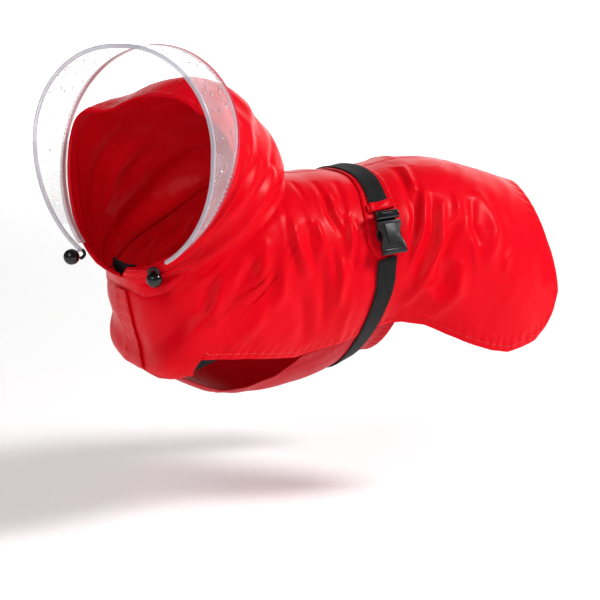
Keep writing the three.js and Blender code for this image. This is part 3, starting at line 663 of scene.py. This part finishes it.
def tube(points, radius, sides=8):
    # rings of a round cord along a line of points, with capped ends
    points = np.asarray(points, float)
    tangent = unit(np.gradient(points, axis=0))
    side = unit(np.cross(tangent, np.where(np.abs(tangent[:, 2:3]) > 0.9, [1.0, 0, 0], [0.0, 0, 1])))
    for i in range(1, len(points)):
        kept = side[i - 1] - tangent[i] * (side[i - 1] @ tangent[i])
        side[i] = kept / max(np.linalg.norm(kept), 1e-9)
    other = np.cross(tangent, side)
    turn = np.arange(sides) * 2 * math.pi / sides
    radius = np.broadcast_to(radius, len(points))
    rings = points[:, None] + radius[:, None, None] * (
        side[:, None] * np.cos(turn)[:, None] + other[:, None] * np.sin(turn)[:, None])
    number = np.arange(len(points) * sides).reshape(len(points), sides)
    nextSide = np.roll(number, -1, axis=1)
    faces = np.stack([number[:-1], nextSide[:-1], nextSide[1:], number[1:]], -1).reshape(-1, 4).tolist()
    faces.append(list(number[0][::-1]))
    faces.append(list(number[-1]))
    return rings.reshape(-1, 3), faces


def joined(parts):
    verts, faces, start = [], [], 0
    for partVerts, partFaces in parts:
        verts.append(partVerts)
        faces += [[i + start for i in face] for face in partFaces]
        start += len(partVerts)
    return np.concatenate(verts), faces


def sampled(at, run, values):
    return np.stack([np.interp(at, run, values[:, k]) for k in range(3)], -1)


sewing = {"stitch": 2.6, "gap": 1.1, "radius": 0.26, "lift": 0.12, "sunk": -0.22, "step": 0.45, "in": 5.2}


def stitches(lines):
    # short dashes of thread, let into the cloth at both ends. Each line is (points, normals)
    parts = []
    pitch = sewing["stitch"] + sewing["gap"]
    for points, normals in lines:
        steps = np.linalg.norm(np.diff(points, axis=0), axis=1)
        rough = np.concatenate([[0], np.cumsum(steps)])
        length = rough[-1]
        run = np.linspace(0, length, max(2, int(length / sewing["step"])))
        fine, out = sampled(run, rough, points), sampled(run, rough, normals)
        for k in range(int(length / pitch)):
            start = k * pitch + sewing["gap"] / 2
            at = np.linspace(start, start + sewing["stitch"], 5)
            lift, sunk = sewing["lift"], sewing["sunk"]
            height = np.array([sunk, lift / 2, lift, lift / 2, sunk])[:, None]
            radius = sewing["radius"] * np.array([0.6, 1, 1, 1, 0.6])
            parts.append(tube(sampled(at, run, fine) + unit(sampled(at, run, out)) * height, radius, 5))
    return joined(parts)


def insetLine(points, turned, edge, distance):
    # a line on a grid at a distance in from one of its edges, which are
    # its "first" and "last" row and its "left" and "right" column
    normals = gridNormals(points, turned)
    if edge in ("first", "last"):
        points, normals = points.swapaxes(0, 1), normals.swapaxes(0, 1)
    if edge in ("last", "right"):
        points, normals = points[:, ::-1], normals[:, ::-1]
    run = runLength(points, 1)
    return [np.array([sampled(distance, run[r], grid[r]) for r in range(len(run))])
            for grid in (points, normals)]


def insetLines(points, turned, edges, distance):
    return [insetLine(points, turned, edge, distance) for edge in edges]


def hemRelief(distance, run, depth=1.0, inset=5.2):
    # the turned-up hem: a raised band, the row of thread drawn into it, and the puckers that it makes
    band = 0.42 * (1 - smooth(inset + 0.6, inset + 1.8, distance))
    drawn = -0.38 * bump(distance, inset, 0.9)
    uneven = np.sin(run / 1.35 + 1.1 * np.sin(run / 9.7)) * (0.75 + 0.25 * np.sin(run / 21))
    pucker = 0.30 * uneven * bump(distance, inset - 0.6, 3.4)
    tail = 0.22 * uneven * bump(distance, inset + 5, 4.5) * (distance > inset)
    return depth * (band + drawn + pucker + tail)


# coat halves, sewn down the middle of the back
coat = {"columns": 108, "edgeColumns": 14, "rows": 330, "corner": 0.95, "neckRow": 2.2, "slit": 0.002}


def coatGrid(side):
    # rows at equal steps along the side, so that narrow creases stay crisp everywhere
    fine = np.linspace(0, lastRing, 1200)
    run = runLength(coatForm(fine, np.full(1200, 1.7))[:, None], 0)[:, 0]
    rows = np.interp(np.linspace(0, run[-1], coat["rows"] + 1), run, fine)
    cut = int(np.searchsorted(rows, legFrontPlace))
    rows = np.insert(rows, cut, [legFrontPlace - coat["slit"], legFrontPlace + coat["slit"]])
    front = np.linspace(0, coat["corner"], coat["columns"], endpoint=False)
    crowded = 1 - (1 - np.linspace(0, 1, coat["edgeColumns"] + 1)) ** 1.1
    t = np.concatenate([front, mix(coat["corner"], 1, crowded)])[None, :]
    row = rows[:, None]
    last = hemAngle(rows)[:, None]
    near = smooth(legFrontPlace - 1.2, legFrontPlace, row)
    corner = mix(coat["corner"] * last, hemAngleOn(sideHem, rows)[:, None], near)
    below = np.maximum(0, (t - coat["corner"]) / (1 - coat["corner"]))
    chest = np.where(t < coat["corner"], corner * (t / coat["corner"]), mix(corner, last, below))
    chestPlace = np.where(
        row < coat["neckRow"], mix(neckPlace(chest) - 0.05, coat["neckRow"], row / coat["neckRow"]), row)
    moved = below * smooth(legFrontPlace - 0.6, legFrontPlace, row)
    cornerEnd = float(hemAngleOn(chestHem, legCornerPlace)[0])
    before = row <= legFrontPlace
    place = np.where(before, mix(chestPlace, legCornerPlace, moved), row)
    angle = np.where(before, mix(chest, cornerEnd, moved), last * t)
    points = coatOuter(place, -side * angle)
    leaveOut = np.zeros((len(rows) - 1, t.shape[1] - 1), bool)
    leaveOut[cut, int(np.searchsorted(t[0], coat["corner"])):] = True
    return points, leaveOut, cut


def addCoatHalf(name, node, side):
    points, leaveOut, cut = coatGrid(side)
    fromNeck, fromTail, fromBack, fromHem = edgeRuns(points)
    hems = np.where(fromTail < fromHem, hemRelief(fromTail, fromBack), hemRelief(fromHem, fromNeck[:, -1:]))
    backSeam = -0.5 * bump(fromBack, 0, 1.6) + 0.12 * np.sin(fromNeck / 1.6) * bump(fromBack, 3, 3)
    relief = hems - 0.9 * bump(fromNeck, 0, 1.5) + backSeam
    made = nylonWall(name, points, side, relief, node, leaveOut=leaveOut)
    points = raised(points, side, relief)
    rear = points[cut + 1:]
    inset = sewing["in"]
    lines = [insetLine(part, side, "right", inset) for part in (points[6: cut + 1], rear[:-5])]
    lines.append(insetLine(rear[:, :-8], side, "last", inset))
    lines.append(insetLine(points, side, "left", seamInset))
    return made, lines


seamInset = 2.2
leftCoat, leftSewing = addCoatHalf("leftCoat", "coat_left", -1)
rightCoat, rightSewing = addCoatHalf("rightCoat", "coat_right", 1)
print("coat halves made")


# belly piece
belly = {
    "from": 2.95, "to": 7.9, "rows": 120, "columns": 90, "thick": 0.7, "tuck": -4.5,
    "edge": {"place": [2.9, 3.3, 4.3, 5.0, 5.6], "angle": [150, 155, 155, 143, 110]},
}


def addBelly():
    rows = np.linspace(belly["from"], belly["to"], belly["rows"] + 1)
    hem = hemAngle(rows) + 0.5 / 75
    edge = np.maximum(hem, np.interp(rows, belly["edge"]["place"], belly["edge"]["angle"]) * degree)[:, None]
    t = np.linspace(0, 1, belly["columns"] + 1)[None, :]
    tuck = belly["tuck"] * smooth(4.2, 3.4, rows)[:, None]
    points = coatOuter(rows[:, None] + 0 * t, mix(edge, 2 * math.pi - edge, t), tuck + 0 * t)
    run, rear, left, right = edgeRuns(points)
    inward = np.minimum(left, right)
    relief = np.where(rear < inward, hemRelief(rear, left), hemRelief(inward, run, 0.7))
    points = raised(points, -1, relief)
    made = wall("bellyPiece", points, -1, belly["thick"], bellyNylonShaded, ["belly_panel"])
    return made, insetLines(points, -1, ("left", "right", "last"), sewing["in"])


bellyPiece, bellySewing = addBelly()
print("belly piece made")


# collar, hood and casing
hood = {"rows": 110, "columns": 130, "collarRows": 26, "casingRows": 18, "casingColumns": 300,
        "casingThick": 2.4, "notch": 0.14}


def closeAngle(side, place):
    return math.pi - (hood["notch"] * smooth(2, 6, place) if side > 0 else 0 * place)


def hoodGrid(side, fromPlace, toPlace, rows, columns, shift=0, under=0):
    t = np.linspace(0, 1, columns + 1)[None, :]
    rough = math.pi * t
    u = np.linspace(0, 1, rows + 1)[:, None]
    low = onto(fromPlace, rough) + shift if fromPlace else 0 * rough
    place = mix(low, onto(toPlace, rough) + under, u)
    return hoodOuter(place, -side * closeAngle(side, place) * t)


def seamRelief(distance, run):
    # cloth drawn down to a seam, with fine puckers beside it
    puckers = 0.18 * np.sin(run / 1.25 + np.sin(run / 7)) * bump(distance, 3, 3)
    return -0.55 * bump(distance, 0, 1.3) + puckers


def addCollar(name, node, side):
    points = hoodGrid(side, None, collarTop, hood["collarRows"], hood["columns"])
    up, down, run, _ = edgeRuns(points)
    relief = seamRelief(up, run) + seamRelief(down, run + 4)
    made = nylonWall(name, points, -side, relief, node)
    return made, insetLines(raised(points, -side, relief), -side, ("last", "first"), 2.0)


def addHoodHalf(name, node, side):
    points = hoodGrid(side, collarTop, casingEdge, hood["rows"], hood["columns"], -0.03, 0.25)
    up, down, run, _ = edgeRuns(points)
    relief = seamRelief(up, run) + seamRelief(down, run) - 0.5 * bump(run, 0, 1.5)
    made = nylonWall(name, points, -side, relief, node)
    return made, insetLines(raised(points, -side, relief), -side, ["left"], seamInset)


def addCasing():
    t = np.linspace(0, 1, hood["casingColumns"] + 1)[None, :]
    u = np.linspace(0, 1, hood["casingRows"] + 1)[:, None]
    rough = mix(-math.pi, math.pi, t)
    place = mix(onto(casingEdge, rough) + 0.11, lastHoodRing, u)
    angle = mix(-closeAngle(1, place), closeAngle(-1, place), t)
    points = hoodOuter(place, angle, 0.5)
    run = runLength(points, 1)
    gathers = np.sin(run / 1.9 + 1.3 * np.sin(run / 13)) * (0.6 + 0.4 * np.sin(run / 37))
    swell = 0.55 * np.sin(u * math.pi) ** 0.6 - 0.35
    relief = swell + 0.28 * gathers * np.sin(u * math.pi)
    made = nylonWall("hoodCasing", points, 1, relief, "hood_casing", hood["casingThick"])
    return made, insetLines(raised(points, 1, relief), 1, ["first"], 1.6)


underlapShadeSpan = {"place": (1.6, 5.4), "angle": (-0.1, 0.24), "under": -3.0}  # angle on from the front


# a black sheet inside the front of the neck opening, painted shade for the hollow there
def addNeckUnderlapShade():
    t = np.linspace(*underlapShadeSpan["angle"], 25)[None, :]
    u = np.linspace(*underlapShadeSpan["place"], 41)[:, None]
    points = hoodOuter(u + 0 * t, math.pi + t + 0 * u, underlapShadeSpan["under"])
    return wall("neckUnderlapShade", points, 1, 0.8, shadeFacingBlack, ["neck_underlap"])


def addNeckTape():
    # a soft tape laid inside over the seam of hood and coat
    angles = np.linspace(-3.02, 3.02, 181)[None, :]
    low = coatOuter(neckPlace(angles) + 0.5, angles, -1.4)
    high = hoodOuter(np.full_like(angles, 0.3), angles, -1.6)
    share = np.linspace(0, 1, 5)[:, None, None]
    return wall("neckTape", low + (high - low) * share, 1, 0.5, coatNylon)


collarL, collarSewingL = addCollar("leftCollar", "collar_left", -1)
collarR, collarSewingR = addCollar("rightCollar", "collar_right", 1)
hoodL, hoodSewingL = addHoodHalf("leftHood", "hood_left", -1)
hoodR, hoodSewingR = addHoodHalf("rightHood", "hood_right", 1)
casing, casingSewing = addCasing()
underlapShade = addNeckUnderlapShade()
neckTape = addNeckTape()
print("hood made")


# placket over the closed front
placketSpan = {"place": (0.12, 2.8), "angle": (-0.14, 0.08), "lift": 1.9}


def addPlacket():
    rows = np.linspace(*placketSpan["place"], 90)[:, None]
    t = np.linspace(*placketSpan["angle"], 19)[None, :]
    points = coatOuter(rows + 0 * t, math.pi + t + 0 * rows, placketSpan["lift"])
    run, _, left, right = edgeRuns(points)
    inward = np.minimum(left, right)
    relief = hemRelief(inward, run, 0.6, seamInset) - 0.5 * bump(inward, 0, 0.8)
    made = nylonWall("frontPlacket", points, -1, relief, "placket", 0.9)
    return made, insetLines(raised(points, -1, relief), -1, ("left", "right"), seamInset)


placket, placketSewing = addPlacket()


# black sheets inside the leg holes, painted shade for the hollows there
def addLegShadeFacing(name, node, side):
    above = float(hemAngleOn(sideHem, legFrontPlace)[0]) - 0.05
    below = float(hemAngleOn(chestHem, legFrontPlace)[0]) - 0.02
    t = np.linspace(0, 1, 13)[None, :]
    u = np.linspace(0, 1, 13)[:, None]
    place = legFrontPlace + mix(-0.12, 0.33 * (1 - t) + 0.03, u)
    points = coatOuter(place, -side * mix(above, below, t) + 0 * u, -2.4)
    return wall(name, points, side, 0.8, shadeFacingBlack, [node])


shadeFacingL = addLegShadeFacing("leftLegShadeFacing", "leg_facing_left", -1)
shadeFacingR = addLegShadeFacing("rightLegShadeFacing", "leg_facing_right", 1)
print("placket and facings made")


# girth strap, in upright planes: each point's ring is found from its x
def placeAtX(x, angle):
    low, high = np.full(np.shape(angle), 4.0), np.full(np.shape(angle), 9.0)
    for _ in range(40):
        middle = (low + high) / 2
        short = coatForm(middle, angle)[..., 0] < x
        low, high = np.where(short, middle, low), np.where(short, high, middle)
    return low


def onCoat(offset, angle, lift=0):
    # a point beside the strap's middle line, at an offset towards the tail
    offset, angle, lift = np.broadcast_arrays(
        np.asarray(offset, float), np.asarray(angle, float), np.asarray(lift, float))
    return coatOuter(placeAtX(beltMiddle(angle) + offset, angle), angle, lift)


def sideAngleAt(z):
    def under(angle):
        return coatForm(placeAtX(beltMiddle(angle), angle), angle)[..., 2] < z
    return float(firstUnder(under, 1)[0])


patch = {
    "tip": 60, "thick": 1.2, "columns": 30, "rows": 150, "share": [0, 0.4, 0.65, 0.85, 0.94, 1],
    "front": [10.5, 12, 14.5, 15.5, 11, 5], "back": [12, 14, 14.5, 13, 10, 5],
}
seamGap = 0.3
patchAngle = sideAngleAt(-patch["tip"])
patchLift = 2 * seamGap + patch["thick"]


def addPatch():
    share = np.linspace(-1, 1, patch["rows"] + 1)[:, None]
    t = np.linspace(0, 1, patch["columns"] + 1)[None, :]
    front = np.interp(np.abs(share), patch["share"], patch["front"])
    back = np.interp(np.abs(share), patch["share"], patch["back"])
    points = onCoat(mix(-front, back, t), share * patchAngle + 0 * t, patchLift)
    run, down, left, right = edgeRuns(points)
    inward = np.minimum(np.minimum(left, right), np.minimum(run, down))
    relief = hemRelief(inward, run, 0.55, seamInset) - 0.7 * bump(inward, 0, 0.9)
    made = nylonWall("saddlePatch", points, 1, relief, "saddle_patch", 0.9)
    return made, insetLines(raised(points, 1, relief), 1, ("left", "right"), seamInset)


saddlePatch, patchSewing = addPatch()
strapTop, strapLow = sideAngleAt(belt["top"]), sideAngleAt(belt["low"])


def strapLift(angle):
    turned = np.where(np.abs(angle) > math.pi, 2 * math.pi - np.abs(angle), np.abs(angle))
    return seamGap + belt["thick"] + patchLift * (1 - smooth(patchAngle, patchAngle + 0.12, turned))


def addBelt():
    angle = np.linspace(strapLow - 2 * math.pi, strapTop, belt["rows"])[:, None]
    t = np.linspace(0, 1, 25)[None, :]
    crown = -0.55 * (np.abs(2 * t - 1) ** 6)
    run = np.arange(belt["rows"])[:, None]
    ripples = 0.12 * np.sin(run / 5.0 + 2 * np.sin(run / 31)) * np.abs(2 * t - 1) ** 2
    offset = mix(-belt["width"] / 2, belt["width"] / 2, t) + 0 * angle
    points = onCoat(offset, angle + 0 * t, strapLift(angle) + crown + ripples)
    made = wall("girthStrap", points, 1, belt["thick"] - 0.2, strapBlack, ["belt"])
    return made, insetLines(points[:60], 1, ("left", "right"), 2.0)


girthStrap, strapSewing = addBelt()
keeper = {"top": -18.5, "low": -25.5, "half": 12.6, "shift": 1.4, "thick": 0.9}


def addKeeper():
    across = np.concatenate([np.linspace(-1, -0.9, 6), np.linspace(-0.88, 0.88, 45), np.linspace(0.9, 1, 6)])
    t = np.linspace(0, 1, 21)[None, :]
    over = 1 - smooth(0.82, 0.93, np.abs(across))
    rise = patchLift + seamGap + keeper["thick"] + over * (belt["thick"] + 2 * seamGap)
    # the strip of cloth is folded, so its edges roll over and a soft crease runs along it
    roll = 0.9 * (1 - np.abs(2 * t - 1) ** 3) + 0.35 * np.sin(across[:, None] * 5 + 3 * t)
    angle = mix(sideAngleAt(keeper["top"]), sideAngleAt(keeper["low"]), t)
    points = onCoat(keeper["shift"] + across[:, None] * keeper["half"] + 0 * t,
                    angle + 0 * across[:, None], rise[:, None] + roll)
    return wall("strapKeeper", points, -1, 0.7, coatNylon, ["belt_keeper"])


strapKeeper = addKeeper()
print("strap made")


# side-release buckle on the left side
buckle = {"middle": -42, "shift": 1.5, "lean": 2, "rise": 1.4, "tongue": 2.2, "narrow": 0.875}


def buckleFrame():
    at = onCoat(buckle["shift"], sideAngleAt(buckle["middle"]))
    down = unit(onCoat(buckle["lean"], sideAngleAt(-62)) - onCoat(-buckle["lean"], sideAngleAt(-27)))
    out = unit(np.cross(np.array([1.0, 0, 0]), down))
    out = out if out[1] < 0 else -out
    across = unit(np.cross(out, down))
    return at, across if across[0] > 0 else -across, down, out


buckleAt, buckleAcross, buckleDown, buckleOut = buckleFrame()


def placed(local):
    local = np.asarray(local, float)
    base = buckleAt + buckleOut * (patchLift + buckle["rise"])
    across, down, out = local[..., :1] * buckle["narrow"], local[..., 1:2], local[..., 2:3]
    return base + across * buckleAcross + down * buckleDown + out * buckleOut


def rounded(outline, low, high, edge, steps=4):
    # a moulded plate: an outline in (across, down) between two heights, with rounded upper and lower edges
    outline = np.asarray(outline, float)
    after, behind = np.roll(outline, -1, axis=0), np.roll(outline, 1, axis=0)
    one, two = unit(after - outline), unit(outline - behind)
    outward = unit(np.stack([one[:, 1] + two[:, 1], -(one[:, 0] + two[:, 0])], -1))
    area = np.sum(outline[:, 0] * after[:, 1] - after[:, 0] * outline[:, 1])
    if area < 0:
        outline, outward = outline[::-1], -outward[::-1]
    turn = np.linspace(0, math.pi / 2, steps + 1)
    rings = [(edge * (1 - math.sin(a)), low + edge * (1 - math.cos(a))) for a in turn]
    rings += [(edge * (1 - math.cos(a)), high - edge * (1 - math.sin(a))) for a in turn]
    verts = np.concatenate([
        np.concatenate([outline - outward * inset, np.full((len(outline), 1), height)], 1)
        for inset, height in rings])
    count = len(outline)
    faces = []
    for r in range(len(rings) - 1):
        for i in range(count):
            j = (i + 1) % count
            faces.append([r * count + i, r * count + j, (r + 1) * count + j, (r + 1) * count + i])
    faces.append(list(range(count))[::-1])
    faces.append([(len(rings) - 1) * count + i for i in range(count)])
    return verts, faces


def curve(start, control, end, steps=7):
    t = np.linspace(0, 1, steps)[1:, None]
    a, b, c = (np.array(p, float) for p in (start, control, end))
    return (a * (1 - t) ** 2 + 2 * b * t * (1 - t) + c * t * t).tolist()


def mirrored(half):
    return half + [[-x, y] for x, y in reversed(half)]


def cornered(points, radius, steps=4):
    # rounds the corners of an outline
    points = [np.array(p, float) for p in points]
    made = []
    for i, p in enumerate(points):
        toBefore, toAfter = points[i - 1] - p, points[(i + 1) % len(points)] - p
        r = min(radius, np.linalg.norm(toBefore) / 2.2, np.linalg.norm(toAfter) / 2.2)
        a, b = p + unit(toBefore) * r, p + unit(toAfter) * r
        made.append(a.tolist())
        made += curve(a, p, b, steps)
    return made


def addBuckle():
    half = 12
    bar = cornered([[-half, -18], [half, -18], [half, -11], [-half, -11]], 1.6)
    neck = cornered([[-9.5, -12], [9.5, -12], [9.5, -7], [-9.5, -7]], 0.5)
    prong = [cornered([[s * 7.4, -9], [s * 9.6, -9], [s * 12.2, -1],
                       [s * 12, 5], [s * 9.6, 5], [s * 8.2, 0]], 0.9)
             for s in (-1, 1)]
    tongue = cornered([[-4.6, -10], [4.6, -10], [4.6, 11], [-4.6, 11]], 0.6)
    plugParts = [rounded(bar, 0.2, 7.6, 2.4, 6), rounded(neck, 0.4, 2.6, 0.4),
                 rounded(tongue, 0.2, 2.0, 0.4)]
    plugParts += [rounded(outline, 0.5, 2.6, 0.5) for outline in prong]
    verts, faces = joined(plugParts)
    plug = piece("bucklePlug", placed(verts), faces, glossBlack, ["buckle_plug"], 35)
    side = [[12, -9.8]] + curve((12, -9.8), (12.5, -6), (11.6, -4.5)) \
        + curve((11.6, -4.5), (6.5, 1.5), (11.6, 7.5)) \
        + [[12.6, 10.5], [12.6, 16.5]]
    face = cornered(mirrored(side), 0.7, 3)
    panelSide = [[5.4, -8.4]] + curve((5.4, -8.4), (5.6, -4), (5.2, 0)) + [[4.6, 8.6]]
    panel = cornered(mirrored(panelSide), 0.8, 3)
    lowBar = cornered([[-12.4, 11.4], [12.4, 11.4], [12.4, 16.6], [-12.4, 16.6]], 1.2)
    lip = cornered([[-11.6, -9.6], [11.6, -9.6], [11.4, -7.2], [-11.4, -7.2]], 0.6)
    base = buckle["tongue"] + seamGap
    socketParts = [
        rounded(face, base, base + 3.8, 0.9), rounded(panel, base + 3.5, base + 4.35, 0.35),
        rounded(lowBar, base + 0.4, base + 4.7, 1.9, 6), rounded(lip, base + 3.4, base + 4.5, 0.5),
    ]
    verts, faces = joined(socketParts)
    socket = piece("buckleSocket", placed(verts), faces, buckleBlack, ["buckle_socket"], 35)
    return plug, socket


addBuckle()
print("buckle made")


# ball cord locks on their elastic loops
locks = {
    "left": {"centre": (-161, -61, -61.6), "seat": (-164.7, -67.1, -51.9)},
    "right": {"centre": (-203.5, -0.5, -51), "seat": (-193, -0.2, -48.7)},
    "radius": 6.2, "cord": 1.3, "half": 3.2, "front": (-0.4, -0.9, 0),
}


def addLock(ending):
    centre, seat = (np.array(locks[ending][key], float) for key in ("centre", "seat"))
    radius = locks["radius"]
    up = unit(seat - centre)
    side = unit(np.cross(up, np.array(locks["front"])))
    out = np.cross(side, up)
    # a turned ball with a flat top, a parting line round it and a shallow push button
    turn = np.linspace(0, math.pi, 33)
    swell = radius * (1 - 0.035 * bump(turn, math.pi / 2, 0.035)) * (1 - 0.06 * smooth(0.5, 0.3, turn))
    spin = np.linspace(0, 2 * math.pi, 48, endpoint=False)
    ring = (np.sin(turn) * swell)[:, None, None] * (
        side * np.cos(spin)[None, :, None] + out * np.sin(spin)[None, :, None])
    rise = (np.cos(turn) * swell)[:, None, None] * up
    verts = centre + ring + rise
    verts = verts[1:-1].reshape(-1, 3)
    number = np.arange(len(verts)).reshape(-1, 48)
    follow = np.roll(number, -1, axis=1)
    faces = np.stack([number[:-1], number[1:], follow[1:], follow[:-1]], -1).reshape(-1, 4).tolist()
    faces += [number[0].tolist(), number[-1][::-1].tolist()]
    ball = piece(ending + "Lock", verts, faces, glossBlack, ["lock_" + ending], 60)
    start, reach = radius + 0.6, np.linalg.norm(seat - centre)
    shape = {"across": [-1, -1, -0.6, 0, 0.6, 1, 1], "rise": [0, 0.35, 0.85, 1, 0.85, 0.35, 0]}
    place = np.linspace(0, 6, 40)
    along = between(shape["across"], place) * locks["half"]
    height = mix(start - 0.4, reach, between(shape["rise"], place))
    line = centre + up * height[:, None] + side * along[:, None]
    verts, faces = tube(line, locks["cord"], 12)
    loop = piece(ending + "Loop", verts, faces, elasticBlack, ["lock_cord_" + ending])
    return ball, loop


for ending in ("left", "right"):
    addLock(ending)
print("cord locks made")


# visor: clear film, the rim tube in front, the hem band with its red piping behind
def visorNormals(angle, share):
    return formNormal(visorPoint, angle, share)


def visorGrid(end, edges, rows, columns, lift=0):
    angle = np.linspace(-end * degree, end * degree, columns + 1)[None, :]
    depth = visorDepth(angle)
    low, high = edges(depth)
    share = mix(low, high, np.linspace(0, 1, rows + 1)[:, None])
    angle = angle + 0 * share
    waves = 0.5 * np.sin(angle * 5.3 + 1) * np.sin(share * 2.6) * smooth(4, 20, depth)
    return visorPoint(angle, share) - visorNormals(angle, share) * (lift + waves * (share < 1))[..., None]


def addFilm():
    front, back = visor["rim"] + seamGap, visor["binding"] / 2 + seamGap
    grid = visorGrid(visor["filmEnd"], lambda d: (front / d, (d - back) / d), 24, 260)
    return wall("visorFilm", grid, -1, 0.5, filmClear, ["visor_film"])


def addVisorHem():
    half = visor["binding"] / 2
    band = visorGrid(visor["bindingEnd"], lambda d: (1 - half / d, 1 + half / d), 10, 260, 0.3)
    hem = wall("visorHem", band, -1, 1.2, hemClear, ["visor_binding"])
    strip = visorGrid(visor["bindingEnd"], lambda d: (1 + 0.4 / d, 1 + (half - 0.2) / d), 6, 260, 0.75)
    piping = wall("visorPiping", strip, -1, 0.8, hemRed)
    return hem, piping


visorFilm = addFilm()
visorHem, visorPiping = addVisorHem()
rimAngles = np.linspace(-visor["end"] * degree, visor["end"] * degree, 260)
rimVerts, rimFaces = tube(visorPoint(rimAngles, 0), visor["rim"], 16)
piece("visorRim", rimVerts, rimFaces, rimClear, ["visor_rim"])
sewnAngles = rimAngles[14:-14]
sewnShares = [1 + off / visorDepth(sewnAngles) for off in (-1.6, -0.4)]
visorSewing = [(visorPoint(sewnAngles, share), -visorNormals(sewnAngles, share)) for share in sewnShares]


def addDrops(count, seed):
    # water drops on the film, thickest at the upper left near the hem
    draw = np.random.default_rng(seed)
    parts = []
    spin = np.linspace(0, 2 * math.pi, 8, endpoint=False)
    while len(parts) < count:
        angle = draw.uniform(-125, 125) * degree
        share = draw.uniform(0.06, 0.92)
        likely = 0.25 + 0.75 * bump(angle / degree, 35, 45) * share
        if draw.uniform() > likely:
            continue
        radius = draw.uniform(0.35, 1.0) ** 1.5
        stretch = draw.uniform(1, 1.9)
        a, s = np.array(angle), np.array(share)
        at, out = visorPoint(a, s), -visorNormals(a, s)
        across = unit(np.cross(out, upward))
        down = unit(np.cross(across, out))
        outer = [at + out * (0.05 + 0.55 * radius * math.cos(lift)) + radius * math.sin(lift) * (
            across * math.cos(t) + down * math.sin(t) * stretch)
            for lift in (1.45, 0.95, 0.45) for t in spin]
        verts = np.array(outer + [at + out * (0.05 + 0.55 * radius), at + out * 0.02])
        faces = []
        for k in range(8):
            j = (k + 1) % 8
            faces += [[k, j, 8 + j, 8 + k], [8 + k, 8 + j, 16 + j, 16 + k], [16 + k, 16 + j, 24], [j, k, 25]]
        parts.append((verts, faces))
    verts, faces = joined(parts)
    return piece("waterDrops", verts, faces, waterClear, sharp=80)


addDrops(420, 7)
print("visor made")


# sewing thread
def addThread(name, lines, material):
    verts, faces = stitches(lines)
    return piece(name, verts, faces, material, sharp=60)


redLines = (leftSewing + rightSewing + collarSewingL + collarSewingR
            + hoodSewingL + hoodSewingR + casingSewing)
addThread("coatThread", redLines, threadRed)
addThread("trimThread", bellySewing + placketSewing + patchSewing, threadRed)
addThread("strapThread", strapSewing, threadBlack)
addThread("visorThread", visorSewing, threadRed)
print("sewing made")


# floor, backdrop, light and world
stage = {"floor": -0.277, "size": 24, "wall": 2.4, "wallSize": 3.2, "glow": 0.24, "world": 0.11}


def addPlane(name, material, colour, rough, level, glow, size, at, turned):
    made, tree, shader = newMaterial(
        material, colour, Roughness=rough, Specular_IOR_Level=level, Emission_Strength=glow)
    shader.inputs["Emission Color"].default_value = (1, 1, 1, 1)
    bpy.ops.mesh.primitive_plane_add(size=size, location=at, rotation=turned)
    plane = bpy.context.object
    plane.name = name
    plane.data.materials.append(made)


def addStage():
    pale, white = (0.95, 0.95, 0.95), (1, 1, 1)
    turn = camera["azimuth"] * degree
    away = Vector((-math.sin(turn), math.cos(turn), 0)) * stage["wall"]
    under = (0, 0, stage["floor"])
    addPlane("floor", "pale_floor", pale, 0.95, 0, stage["glow"], stage["size"], under, (0, 0, 0))
    addPlane("backdrop", "pale_wall", white, 1, 0.5, 1, stage["wallSize"], away, (math.pi / 2, 0, turn))
    world = bpy.data.worlds.new("studio")
    bpy.context.scene.world = world
    world.use_nodes = True
    world.node_tree.nodes["Background"].inputs["Color"].default_value = (1, 1, 1, 1)
    world.node_tree.nodes["Background"].inputs["Strength"].default_value = stage["world"]


lamps = [
    {"name": "key", "at": (1.8, -1.4, 1.7), "size": 0.6, "power": 74},
    {"name": "fill", "at": (-1.6, -1.0, 1.2), "size": 1.2, "power": 15},
]


def addLamp(lamp):
    data = bpy.data.lights.new(lamp["name"], "AREA")
    data.energy, data.size = lamp["power"], lamp["size"]
    made = bpy.data.objects.new(lamp["name"], data)
    made.location = lamp["at"]
    toMiddle = Vector(camera["target"]) - Vector(lamp["at"])
    made.rotation_euler = toMiddle.to_track_quat("-Z", "Y").to_euler()
    bpy.context.collection.objects.link(made)


addStage()
for lamp in lamps:
    addLamp(lamp)
bpy.context.scene.view_settings.view_transform = "Standard"
print("stage set")
